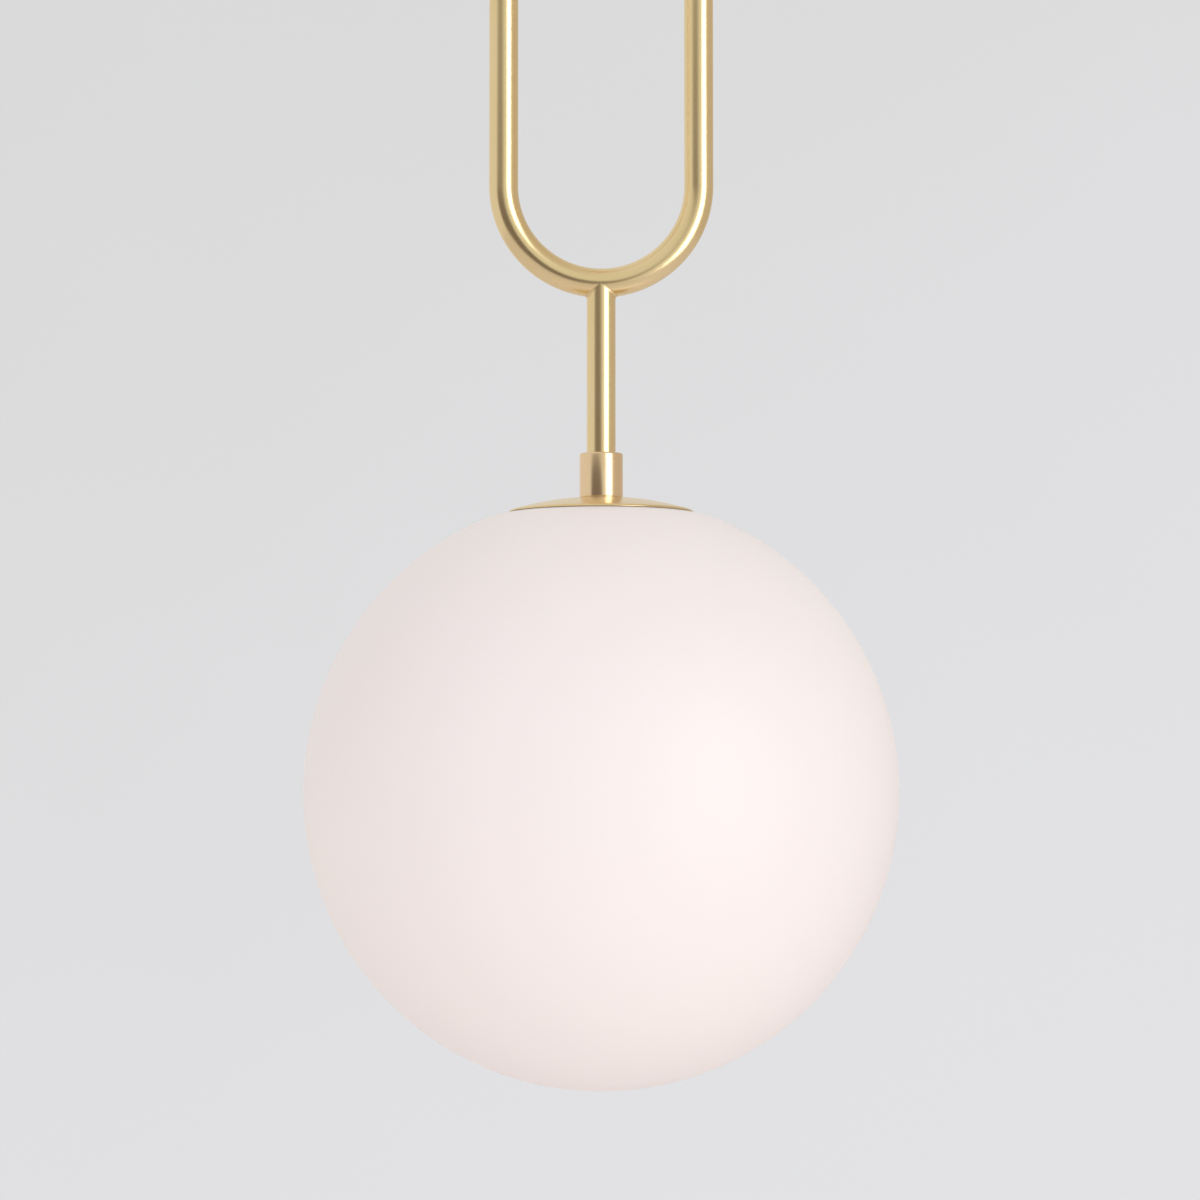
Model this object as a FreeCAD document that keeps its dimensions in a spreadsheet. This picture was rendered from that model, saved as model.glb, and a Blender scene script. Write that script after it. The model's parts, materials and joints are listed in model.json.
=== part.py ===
import FreeCAD, Part
import math
import os
import re
import Sketcher

# A pendant ceiling light.  Millimetres, +Z up.  The origin is the middle of the mounting plate's top
# face, where the light meets the ceiling, and everything hangs below it on the Z axis.
# X runs across the loop, and the two slots of the mounting plate lie along Y.

doc = FreeCAD.newDocument("pendant_light")
Vector = FreeCAD.Vector
X_AXIS = Vector(1, 0, 0)
Y_AXIS = Vector(0, 1, 0)
Z_AXIS = Vector(0, 0, 1)

# ---- driving dimensions ------------------------------------------------------------------------

SIZES = {
    # ceiling end
    "plate_radius": 50,
    "plate_thickness": 2,
    "slot_spacing": 79.4,
    "slot_length": 14.5,
    "slot_width": 5,
    "wiring_hole_radius": 11,
    "canopy_radius": 63.5,
    "canopy_depth": 26,
    "canopy_wall": 1,
    "canopy_corner": 6,
    "stud_spacing": 50,
    "stud_radius": 2,
    "nut_radius": 5.5,
    "nut_height": 8,
    "washer_radius": 16,
    "washer_thickness": 2,
    "bolt_radius": 4.85,
    "bolt_bore_radius": 3.4,
    "bolt_shoulder_radius": 5.2,
    "bolt_above_locknut": 1.5,
    "locknut_across": 7.5,
    "locknut_height": 3,
    "block_length": 30,
    "block_width": 16,
    "block_height": 10,
    "block_offset": 32,
    "block_pitch": 9,
    "block_wire_radius": 1.3,
    "block_clamp_radius": 1.7,
    "block_clamp_height": 2.4,
    "fixing_screw_radius": 1.5,
    "fixing_head_radius": 2.6,
    "fixing_head_height": 1.7,
    "earth_across": 8,
    "earth_back": 32,
    "earth_screw_radius": 2,
    "earth_head_radius": 4,
    "earth_head_height": 2.6,
    "nut_chamfer": 0.6,
    "flute_radius": 0.45,
    "driver_slot": 0.8,
    "driver_depth": 0.8,
    # swivel
    "swivel_radius": 11,
    "seat_height": 8,
    "wave_washer_thickness": 0.7,
    "thrust_gap": 0.1,
    "edge_break": 0.5,
    "fork_top_thickness": 5,
    "bolt_head_height": 2.5,
    "bolt_head_radius": 6.4,
    "ear_gap": 13.2,
    "tongue_width": 12.8,
    "tongue_bore_radius": 3.2,
    "tongue_top_radius": 6.8,
    "tongue_foot_height": 5,
    "tongue_chamfer": 2,
    "pivot_radius": 2,
    "pivot_head_radius": 3.6,
    "pivot_head_height": 1.6,
    "ear_web": 2,
    "stop_pin_radius": 0.8,
    "stop_circle_radius": 8.4,
    "stop_groove_depth": 1.6,
    "turn_limit": 165,
    # stems and loop
    "stem_radius": 6.15,
    "stem_wall": 1.15,
    "upper_stem_length": 150,
    "spigot_length": 14,
    "loop_tube_radius": 6.25,
    "loop_tube_wall": 1,
    "bend_radius": 41.7,
    "loop_straight": 200,
    "ferrule_length": 30,
    "ferrule_wall": 0.8,
    "seam_width": 1.2,
    "lower_stem_length": 66.55,
    "stem_in_collar": 8,
    # holder
    "collar_radius": 9.25,
    "collar_height": 19,
    "cap_radius": 39.7,
    "cap_dome_radius": 134,
    "cap_wall": 0.8,
    "cap_lip": 0.85,
    "gasket_thickness": 0.35,
    "gasket_width": 2.5,
    "gasket_inset": 0.6,
    "skin_ease": 0.03,
    "gallery_radius": 24,
    "gallery_thickness": 1.6,
    "gallery_in_mouth": 0.55,
    "holder_radius": 19,
    "holder_cap_height": 16,
    "holder_sleeve_height": 34,
    "holder_wall": 1.2,
    "holder_roof": 2,
    "holder_chamfer": 3,
    "nipple_in_holder": 5,
    "spring_width": 8,
    "spring_thickness": 0.6,
    "spring_root_radius": 13.2,
    "spring_toe_inset": 2.6,
    "spring_tip_reach": 5.5,
    "spring_dip": 6,
    "leaf_screw_reach": 18,
    "leaf_screw_radius": 1.25,
    "leaf_head_radius": 2.4,
    "leaf_head_height": 1.4,
    "shell_gap": 0.3,
    "shell_wall": 0.4,
    "core_rise": 2,
    "core_depth": 5,
    "centre_contact_radius": 3,
    "centre_contact_height": 0.9,
    "post_reach": 10,
    "post_width": 6,
    "post_height": 7,
    "post_wire_height": 4,
    "post_wire_radius": 1.1,
    "post_screw_radius": 1.2,
    "post_screw_length": 1.8,
    "post_head_radius": 2.1,
    "post_head_height": 1.5,
    # glass
    "globe_radius": 126.1,
    "glass_wall": 2.5,
    "shoulder_radius": 48,
    "crown_radius": 217,
    "mouth_radius": 32.5,
    "mouth_edge": 1,
    # bulb
    "screw_radius": 13,
    "screw_length": 23,
    "bulb_radius": 29.5,
    "bulb_length": 108,
    "bulb_flare_radius": 70,
    "bulb_wall": 1.6,
    "bulb_dome_wall": 1.2,
    "bulb_cone_height": 3,
    "bulb_skirt": 6,
    "bulb_contact_radius": 4.5,
    "bulb_insulator_radius": 7,
    "bulb_spigot_inset": 0.8,
    "board_height": 3,
    "board_thickness": 2,
    # leads
    "lead_radius": 0.8,
    "lead_pitch": 1.9,
    "lead_offset": 0.8,
    "lead_turn": 9,
    "lead_in_bend": 39.9,
    "lead_corner": 6,
    "lead_foot_corner": 2.5,
    "lead_in_block": 5,
    # clearances
    "running_gap": 0.06,
    "free_gap": 0.3,
    "ear_clearance": 0.7,
}

sizes = doc.addObject("Spreadsheet::Sheet", "Sizes")
for row, (alias, number) in enumerate(SIZES.items(), start=1):
    sizes.set(f"A{row}", str(number))
    sizes.setAlias(f"A{row}", alias)
doc.recompute()

# ---- places worked out from them ---------------------------------------------------------------

PLACES = {
    "canopy_bottom": "-canopy_depth",
    "canopy_floor": "canopy_bottom + canopy_wall",
    "locknut_bottom": "canopy_floor + washer_thickness",
    "bolt_top": "locknut_bottom + locknut_height + bolt_above_locknut",
    "seat_bottom": "canopy_bottom - seat_height",
    "fork_top": "seat_bottom - wave_washer_thickness - thrust_gap",
    "fork_slot_top": "fork_top - fork_top_thickness",
    "bolt_bottom": "fork_slot_top - thrust_gap - bolt_head_height",
    "pivot_z": "bolt_bottom - ear_clearance - tongue_top_radius",
    "tongue_shoulder": "pivot_z - swivel_radius - ear_clearance",
    "tongue_foot": "tongue_shoulder - tongue_foot_height",
    "upper_stem_low": "tongue_foot - upper_stem_length",
    "upper_bend_z": "upper_stem_low - loop_tube_radius - bend_radius",
    "loop_joint_z": "upper_bend_z - loop_straight / 2",
    "lower_bend_z": "upper_bend_z - loop_straight",
    "lower_bend_line": "lower_bend_z - bend_radius",
    "collar_top": "lower_bend_line - loop_tube_radius - lower_stem_length",
    "collar_bottom": "collar_top - collar_height",
    "cap_centre": "collar_bottom - sqrt(cap_dome_radius ^ 2 - collar_radius ^ 2)",
    "cap_edge": "cap_centre + sqrt(cap_dome_radius ^ 2 - cap_radius ^ 2)",
    "cap_rim": "cap_edge - cap_lip",
    "cap_skin": "cap_dome_radius - cap_wall",
    "crown_centre": "cap_rim - free_gap - sqrt(crown_radius ^ 2 - cap_radius ^ 2)",
    "crown_rise": "sqrt(crown_radius ^ 2 - shoulder_radius ^ 2)",
    "globe_z": "crown_centre + crown_rise - sqrt(globe_radius ^ 2 - shoulder_radius ^ 2)",
    "glass_top": "crown_centre + sqrt(crown_radius ^ 2 - (mouth_radius + mouth_edge) ^ 2)",
    "gallery_bottom": "glass_top - gallery_in_mouth",
    "gallery_top": "gallery_bottom + gallery_thickness",
    "holder_top": "gallery_bottom - locknut_height",
    "sleeve_top": "holder_top - holder_cap_height",
    "sleeve_bottom": "sleeve_top - holder_sleeve_height",
    "core_top": "sleeve_top + core_rise",
    "core_floor": "sleeve_top - core_depth",
    "bulb_top": "core_floor - centre_contact_height - free_gap",
    "bulb_neck": "bulb_top - bulb_cone_height - screw_length",
    "bulb_low": "bulb_top - bulb_length",
}

full_name = {alias: f"Sizes.{alias}" for alias in SIZES}


def bound(text):
    """Spell out which cell of the sheet, or which worked-out place, each word names."""
    return re.sub(r"[a-z][a-z_]{2,}", lambda word: full_name.get(word.group(), word.group()), str(text))


places = doc.addObject("App::VarSet", "Places")
for name, text in PLACES.items():
    places.addProperty("App::PropertyFloat", name, "Heights")
    places.setExpression(name, bound(text))
    full_name[name] = f"Places.{name}"
    doc.recompute()


def value(text):
    """The number that an expression of the sheet gives."""
    return float(sizes.evalExpression(bound(text)))


parts = []


def named(piece, label):
    """Give a finished sub-part its name and list it."""
    piece.Label = label
    parts.append(piece)
    return piece


def place(piece, x="0", y="0", z="0", axis=Z_AXIS, turn=0):
    """Put a piece where the expressions say, turned by an angle about one axis."""
    piece.Placement = FreeCAD.Placement(Vector(0, 0, 0), FreeCAD.Rotation(axis, turn))
    for letter, text in zip("xyz", (x, y, z)):
        piece.setExpression(f"Placement.Base.{letter}", bound(text))
    return piece


# ---- ways of making a piece --------------------------------------------------------------------


def origin_plane(body, role):
    """One of a body's own origin planes."""
    return next(plane for plane in body.Origin.OriginFeatures if plane.Role == role)


def sketch_on(body, role, height="0"):
    """An empty sketch on one of the body's planes, lifted off it by a height."""
    sketch = body.newObject("Sketcher::SketchObject", body.Name + "_sketch")
    sketch.AttachmentSupport = (origin_plane(body, role), [""])
    sketch.MapMode = "FlatFace"
    sketch.setExpression("AttachmentOffset.Base.z", bound(height))
    return sketch


def arc_centre(start, end, radius, side):
    """The centre of the short arc between two points; side 1 puts it on the left of the way."""
    chord = end - start
    half = chord.Length / 2
    left = Vector(-chord.y, chord.x, 0).normalize()
    return (start + end) * 0.5 + left * side * math.sqrt(max(radius ** 2 - half ** 2, 0))


def draw_outline(sketch, corners):
    """A closed outline.  A corner is (across, up) or, where an arc leaves it for the next corner,
    (across, up, radius, side)."""
    points = [Vector(value(corner[0]), value(corner[1]), 0) for corner in corners]
    count = len(corners)
    ends = []
    for index, corner in enumerate(corners):
        start = points[index]
        end = points[(index + 1) % count]
        if len(corner) == 2:
            sketch.addGeometry(Part.LineSegment(start, end), False)
            ends.append((1, 2))
            continue
        radius = value(corner[2])
        centre = arc_centre(start, end, radius, corner[3])
        first, last = (start, end) if corner[3] > 0 else (end, start)
        angles = [math.atan2(point.y - centre.y, point.x - centre.x) for point in (first, last)]
        circle = Part.Circle(centre, Z_AXIS, radius)
        sketch.addGeometry(Part.ArcOfCircle(circle, angles[0], angles[1]), False)
        ends.append((1, 2) if corner[3] > 0 else (2, 1))
    for index, corner in enumerate(corners):
        following = (index + 1) % count
        join = Sketcher.Constraint("Coincident", index, ends[index][1], following, ends[following][0])
        sketch.addConstraint(join)
        for kind, text in zip(("DistanceX", "DistanceY"), corner):
            hold = Sketcher.Constraint(kind, -1, 1, index, ends[index][0], value(text))
            sketch.setExpression(f"Constraints[{sketch.addConstraint(hold)}]", bound(text))
        if len(corner) > 2:
            hold = Sketcher.Constraint("Radius", index, value(corner[2]))
            sketch.setExpression(f"Constraints[{sketch.addConstraint(hold)}]", bound(corner[2]))


def draw_circles(sketch, circles):
    """Circles, each (across, up, radius)."""
    for index, (across, up, radius) in enumerate(circles):
        centre = Vector(value(across), value(up), 0)
        sketch.addGeometry(Part.Circle(centre, Z_AXIS, value(radius)), False)
        for kind, text in (("DistanceX", across), ("DistanceY", up)):
            hold = Sketcher.Constraint(kind, -1, 1, index, 3, value(text))
            sketch.setExpression(f"Constraints[{sketch.addConstraint(hold)}]", bound(text))
        hold = Sketcher.Constraint("Radius", index, value(radius))
        sketch.setExpression(f"Constraints[{sketch.addConstraint(hold)}]", bound(radius))


def turned(label, corners):
    """A lathe-turned body about Z: its section's corners are (radius, height)."""
    body = doc.addObject("PartDesign::Body", label)
    sketch = sketch_on(body, "XZ_Plane")
    draw_outline(sketch, corners)
    spin = body.newObject("PartDesign::Revolution", label + "_turning")
    spin.Profile = sketch
    spin.ReferenceAxis = (sketch, ["V_Axis"])
    spin.Angle = 360
    doc.recompute()
    return body


def ring(label, inner, outer, low, high):
    """A plain turned ring, or a disc where the inner radius is 0."""
    return turned(label, [(inner, low), (outer, low), (outer, high), (inner, high)])


def padded(label, corners, low, length, role="XY_Plane"):
    """A body pushed out of one closed outline."""
    body = doc.addObject("PartDesign::Body", label)
    sketch = sketch_on(body, role, low)
    draw_outline(sketch, corners)
    pad = body.newObject("PartDesign::Pad", label + "_pad")
    pad.Profile = sketch
    pad.setExpression("Length", bound(length))
    doc.recompute()
    return body


def cylinder(name, radius, length, x="0", y="0", z="0", axis=Z_AXIS, turn=0):
    """A round tool or blank that starts at the given point."""
    blank = doc.addObject("Part::Cylinder", name)
    blank.setExpression("Radius", bound(radius))
    blank.setExpression("Height", bound(length))
    return place(blank, x, y, z, axis, turn)


def block(name, length, width, height, x="0", y="0", z="0", axis=Z_AXIS, turn=0):
    """A square tool or blank, centred across X and Y on the given point and standing on it."""
    blank = doc.addObject("Part::Box", name)
    for side, text in (("Length", length), ("Width", width), ("Height", height)):
        blank.setExpression(side, bound(text))
    return place(blank, f"{x} - ({length}) / 2", f"{y} - ({width}) / 2", z, axis, turn)


def along_y(name, radius, length, x="0", middle="0", z="0"):
    """A round tool whose axis lies along Y, centred on the given point."""
    return cylinder(name, radius, length, x, f"{middle} + ({length}) / 2", z, X_AXIS, 90)


def along_x(name, radius, length, x="0", y="0", z="0"):
    """A round tool whose axis runs along +X from the given point."""
    return cylinder(name, radius, length, x, y, z, Y_AXIS, 90)


def bend_torus(name, tube_radius, height):
    """The whole ring that a bend of the loop is half of."""
    torus = doc.addObject("Part::Torus", name)
    torus.setExpression("Radius1", bound("bend_radius"))
    torus.setExpression("Radius2", bound(tube_radius))
    return place(torus, "0", "0", height, X_AXIS, 90)


def cut(name, base, *tools):
    """The base with every tool taken out of it."""
    for number, tool in enumerate(tools):
        result = doc.addObject("Part::Cut", f"{name}_cut{number}")
        result.Base = base
        result.Tool = tool
        base = result
    doc.recompute()
    return base


def fused(name, *pieces):
    """Several blanks made one."""
    result = doc.addObject("Part::MultiFuse", name + "_fuse")
    result.Shapes = list(pieces)
    doc.recompute()
    return result


def common(name, *pieces):
    """What several blanks share."""
    result = doc.addObject("Part::MultiCommon", name + "_common")
    result.Shapes = list(pieces)
    doc.recompute()
    return result


def group(label, pieces):
    """Identical loose pieces that share one name."""
    result = doc.addObject("Part::Compound", label)
    result.Links = list(pieces)
    doc.recompute()
    return named(result, label)


# ---- ceiling end -------------------------------------------------------------------------------


def mounting_plate():
    """A round steel plate: two slots for a box's screws, a wiring hole and two tapped stud holes."""
    blank = cylinder("plate_blank", "plate_radius", "plate_thickness", z="-plate_thickness")
    tools = [cylinder("wiring_hole", "wiring_hole_radius", "plate_radius", "wiring_hole_radius * 2",
                      "0", "-plate_radius / 2")]
    for side in ("", "-"):
        middle = f"{side}slot_spacing / 2"
        straight = "slot_length - slot_width"
        slot = [block("slot", "slot_width", straight, "plate_radius", "0", middle, "-plate_radius / 2")]
        for end in ("+", "-"):
            slot.append(cylinder("slot_end", "slot_width / 2", "plate_radius", "0",
                                 f"{middle} {end} ({straight}) / 2", "-plate_radius / 2"))
        tools.append(fused("slot_tool", *slot))
        tools.append(cylinder("stud_hole", "stud_radius", "plate_radius", "0",
                              f"{side}stud_spacing / 2", "-plate_radius / 2"))
        tools.append(cylinder("block_screw_hole", "fixing_screw_radius", "plate_radius", "-block_offset",
                              f"{side}block_pitch / 2", "-plate_radius / 2"))
    tools.append(cylinder("earth_hole", "earth_screw_radius", "plate_radius", "earth_across",
                          "-earth_back", "-plate_radius / 2"))
    named(cut("plate", blank, *tools), "mounting_plate")


def earth_screw():
    """A pan-head screw with a driver slot, driven up into the plate."""
    low = "-plate_thickness - earth_head_height"
    screw = turned("earth_screw_body", [
        ("0", low), ("earth_head_radius - driver_depth", low),
        ("earth_head_radius", f"{low} + driver_depth"), ("earth_head_radius", "-plate_thickness"),
        ("earth_screw_radius", "-plate_thickness"), ("earth_screw_radius", "0"), ("0", "0")])
    screw_slot = block("earth_screw_slot", "earth_head_radius * 3", "driver_slot", "driver_depth * 2",
                       z=f"{low} - driver_depth")
    named(place(cut("earth_screw", screw, screw_slot), "earth_across", "-earth_back"), "earth_screw")


def canopy():
    """The spun pan that covers the ceiling fixing; its floor carries the hanger bolt."""
    side_top = "canopy_bottom + canopy_corner"
    pan = turned("canopy_pan", [
        ("bolt_radius + running_gap", "canopy_bottom"),
        ("canopy_radius - canopy_corner", "canopy_bottom", "canopy_corner", 1),
        ("canopy_radius", side_top), ("canopy_radius", "0"),
        ("canopy_radius - canopy_wall", "0"),
        ("canopy_radius - canopy_wall", side_top, "canopy_corner - canopy_wall", -1),
        ("canopy_radius - canopy_corner", "canopy_floor"),
        ("bolt_radius + running_gap", "canopy_floor")])
    holes = [cylinder("canopy_stud_hole", "stud_radius + free_gap", "canopy_wall * 4", "0",
                      f"{side}stud_spacing / 2", "canopy_bottom - canopy_wall") for side in ("", "-")]
    named(cut("canopy", pan, *holes), "canopy")


def canopy_fixings():
    """Two studs out of the plate, and the two knurled cap nuts that hold the canopy up on them."""
    studs = []
    nuts = []
    flutes = 20
    for side in ("", "-"):
        middle = f"{side}stud_spacing / 2"
        low = "canopy_bottom - nut_height * 0.7"
        studs.append(cylinder("stud", "stud_radius", f"-({low})", "0", middle, low))
        foot = "canopy_bottom - nut_height"
        blank = turned("nut_blank", [
            ("0", foot), ("nut_radius * 0.6", foot), ("nut_radius", f"{foot} + nut_height * 0.2"),
            ("nut_radius", "canopy_bottom - nut_chamfer"), ("nut_radius - nut_chamfer", "canopy_bottom"),
            ("stud_radius", "canopy_bottom"), ("stud_radius", low), ("0", low)])
        knurl = [cylinder("flute", "flute_radius", "nut_height * 2",
                          f"nut_radius * cos({step * 360 / flutes})",
                          f"nut_radius * sin({step * 360 / flutes})", "canopy_bottom - nut_height * 1.5")
                 for step in range(flutes)]
        nuts.append(place(cut("nut", blank, fused("knurl", *knurl)), "0", middle))
    group("canopy_studs", studs)
    group("canopy_nuts", nuts)


def hexagon(across):
    """The corners of a hexagon, from the distance between centre and corner."""
    return [(f"({across}) * cos({60 * step})", f"({across}) * sin({60 * step})") for step in range(6)]


def hex_nut(label, low, bore):
    """A thin hexagon locknut on a hollow threaded tube."""
    blank = padded(label + "_blank", hexagon("locknut_across"), low, "locknut_height")
    hole = cylinder(label + "_bore", bore, "locknut_height * 3", z=f"({low}) - locknut_height")
    named(cut(label, blank, hole), label)


def hanger():
    """The hollow bolt that carries the light, with its washer and locknut in the canopy."""
    named(ring("canopy_washer", "bolt_radius + running_gap", "washer_radius", "canopy_floor",
               "locknut_bottom"), "canopy_washer")
    hex_nut("hanger_locknut", "locknut_bottom", "bolt_radius")
    head_top = "bolt_bottom + bolt_head_height"
    named(turned("hanger_bolt", [
        ("bolt_bore_radius", "bolt_bottom"), ("bolt_head_radius", "bolt_bottom"),
        ("bolt_head_radius", head_top), ("bolt_shoulder_radius", head_top),
        ("bolt_shoulder_radius", "seat_bottom"), ("bolt_radius", "seat_bottom"),
        ("bolt_radius", "bolt_top"), ("bolt_bore_radius", "bolt_top")]), "hanger_bolt")


def swivel_seat():
    """The collar clamped under the canopy, the pin in it that stops the swivel, and a wave washer."""
    blank = turned("seat_blank", [
        ("bolt_radius", "seat_bottom"), ("swivel_radius - edge_break", "seat_bottom"),
        ("swivel_radius", "seat_bottom + edge_break"), ("swivel_radius", "canopy_bottom"),
        ("bolt_radius", "canopy_bottom")])
    pin_low = "fork_top - stop_groove_depth + free_gap"
    pin_top = "seat_bottom + seat_height * 0.375"
    pin = cylinder("stop_pin", "stop_pin_radius", f"{pin_top} - ({pin_low})", "stop_circle_radius", "0",
                   pin_low)
    pin_hole = cylinder("pin_hole", "stop_pin_radius", "seat_height / 2", "stop_circle_radius", "0",
                        "seat_bottom - seat_height / 8")
    named(cut("seat", blank, pin_hole), "swivel_seat")
    named(pin, "stop_pin")
    named(ring("wave_washer", "bolt_shoulder_radius + free_gap",
               "stop_circle_radius - stop_pin_radius * 1.5", "seat_bottom - wave_washer_thickness",
               "seat_bottom"), "wave_washer")


def terminal_block():
    """A three-way block hung under the plate, with its clamp screws and its two fixing screws."""
    low = "-plate_thickness - block_height"
    blank = block("block_blank", "block_width", "block_length", "block_height", "-block_offset", "0", low)
    wire_height = "-plate_thickness - block_height / 2"
    tools = []
    clamps = []
    fixings = []
    for way in (-1, 0, 1):
        across = f"{way} * block_pitch"
        clamp_x = "-block_offset + block_width / 4"
        tools.append(along_x("wire_hole", "block_wire_radius", "block_width * 2",
                             "-block_offset - block_width", across, wire_height))
        tools.append(cylinder("clamp_hole", "block_clamp_radius + free_gap",
                              "block_clamp_height + free_gap * 2", clamp_x, across, low))
        screw = cylinder("clamp_blank", "block_clamp_radius", "block_clamp_height", clamp_x, across,
                         f"{low} + free_gap * 2")
        slot = block("clamp_slot", "block_clamp_radius * 3", "driver_slot", "driver_depth", clamp_x, across,
                     f"{low} + free_gap * 2 - driver_depth / 4")
        clamps.append(cut("clamp", screw, slot))
    for side in ("", "-"):
        across = f"{side}block_pitch / 2"
        tools.append(cylinder("fixing_hole", "fixing_screw_radius", "block_height * 2", "-block_offset",
                              across, f"{low} - block_height / 2"))
        head_low = f"{low} + free_gap"
        head_seat = f"{head_low} + fixing_head_height"
        tools.append(cylinder("fixing_sink", "fixing_head_radius + running_gap",
                              "fixing_head_height + free_gap", "-block_offset", across, low))
        fixing = turned("fixing_screw", [
            ("0", head_low), ("fixing_head_radius", head_low), ("fixing_head_radius", head_seat),
            ("fixing_screw_radius", head_seat), ("fixing_screw_radius", "-plate_thickness / 4"),
            ("0", "-plate_thickness / 4")])
        fixings.append(place(fixing, "-block_offset", across))
    named(cut("terminal_block", blank, *tools), "terminal_block")
    group("clamp_screws", clamps)
    group("block_screws", fixings)


# ---- swivel ------------------------------------------------------------------------------------


def swivel_fork():
    """The fork that turns about Z on the bolt's shoulder, with its stop groove and two ears."""
    reach = "swivel_radius * 3"
    upper = cylinder("fork_barrel", "swivel_radius", "fork_top - pivot_z", z="pivot_z")
    ears = common("ear_ends", cylinder("ear_blank", "swivel_radius", "swivel_radius + 1",
                                       z="pivot_z - swivel_radius"),
                  along_y("ear_round", "swivel_radius", reach, z="pivot_z"))
    slot_low = "pivot_z - swivel_radius - 1"
    slot = block("fork_slot", reach, "ear_gap", f"fork_slot_top - ({slot_low})", z=slot_low)
    bore = cylinder("fork_bore", "bolt_shoulder_radius + running_gap", reach, z="pivot_z")
    pivot_bore = along_y("pivot_bore", "pivot_radius + running_gap", reach, z="pivot_z")
    sinks = [along_y("pivot_sink", "pivot_head_radius + free_gap", "swivel_radius", "0",
                     f"{side} (ear_gap / 2 + ear_web + swivel_radius / 2)", "pivot_z") for side in ("+", "-")]
    groove_half = "stop_pin_radius + free_gap"
    groove_low = "fork_top - stop_groove_depth"
    groove = ring("groove_ring", f"stop_circle_radius - ({groove_half})",
                  f"stop_circle_radius + ({groove_half})", groove_low, "fork_top + 1")
    stop_width = "2 * (stop_circle_radius * sin(180 - turn_limit) - stop_pin_radius - free_gap)"
    stop = block("groove_stop", "swivel_radius", stop_width, "stop_groove_depth + 2",
                 "-stop_circle_radius", "0", groove_low)
    open_groove = cut("groove", groove, stop)
    body = fused("fork", upper, ears)
    named(cut("swivel_fork", body, slot, bore, pivot_bore, open_groove, *sinks), "swivel_fork")


def swivel_tongue():
    """The hollow tongue between the ears, its round foot and the spigot that enters the stem."""
    blade = block("tongue_blade", "tongue_top_radius * 2", "tongue_width", "pivot_z - tongue_shoulder",
                  z="tongue_shoulder")
    crown = along_y("tongue_crown", "tongue_top_radius", "tongue_width", z="pivot_z")
    foot = turned("tongue_foot_blank", [
        ("0", "tongue_foot"), ("swivel_radius - tongue_chamfer", "tongue_foot"),
        ("swivel_radius", "tongue_foot + tongue_chamfer"),
        ("swivel_radius", "tongue_shoulder"), ("0", "tongue_shoulder")])
    spigot = cylinder("tongue_spigot", "stem_radius - stem_wall", "spigot_length + 1",
                      z="tongue_foot - spigot_length")
    bore = cylinder("tongue_bore", "tongue_bore_radius", "spigot_length * 4",
                    z="tongue_foot - spigot_length * 1.5")
    pivot_hole = along_y("tongue_pivot_hole", "pivot_radius", "tongue_width * 2", z="pivot_z")
    body = fused("tongue", blade, crown, foot, spigot)
    named(cut("swivel_tongue", body, bore, pivot_hole), "swivel_tongue")


def pivot_screws():
    """Two short shouldered screws, one in each ear, that end inside the tongue's walls."""
    screws = []
    head_seat = "ear_gap / 2 + ear_web + running_gap"
    for turn in (-90, 90):
        start = "tongue_bore_radius + free_gap"
        shank = cylinder("pivot_shank", "pivot_radius", f"{head_seat} - ({start})", z=start)
        head = cylinder("pivot_head", "pivot_head_radius", "pivot_head_height", z=head_seat)
        slot = block("pivot_slot", "pivot_head_radius * 3", "driver_slot", "driver_depth * 2",
                     z=f"{head_seat} + pivot_head_height - driver_depth")
        screw = cut("pivot_screw", fused("pivot_blank", shank, head), slot)
        screw.Placement.Rotation = FreeCAD.Rotation(X_AXIS, turn)
        screw.setExpression("Placement.Base.z", bound("pivot_z"))
        screws.append(screw)
    group("pivot_screws", screws)


# ---- stems and loop ----------------------------------------------------------------------------


def upper_stem():
    """The long straight tube, coped at its foot to sit astride the loop."""
    tube = ring("upper_stem_tube", "stem_radius - stem_wall", "stem_radius", "upper_bend_z + bend_radius",
                "tongue_foot")
    named(cut("upper_stem", tube, bend_torus("upper_cope", "loop_tube_radius", "upper_bend_z")),
          "upper_stem")


def lower_stem():
    """The short stem between the loop and the collar, coped the same way."""
    tube = ring("lower_stem_tube", "stem_radius - stem_wall", "stem_radius", "collar_top - stem_in_collar",
                "lower_bend_line")
    named(cut("lower_stem", tube, bend_torus("lower_cope", "loop_tube_radius", "lower_bend_z")),
          "lower_stem")


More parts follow.
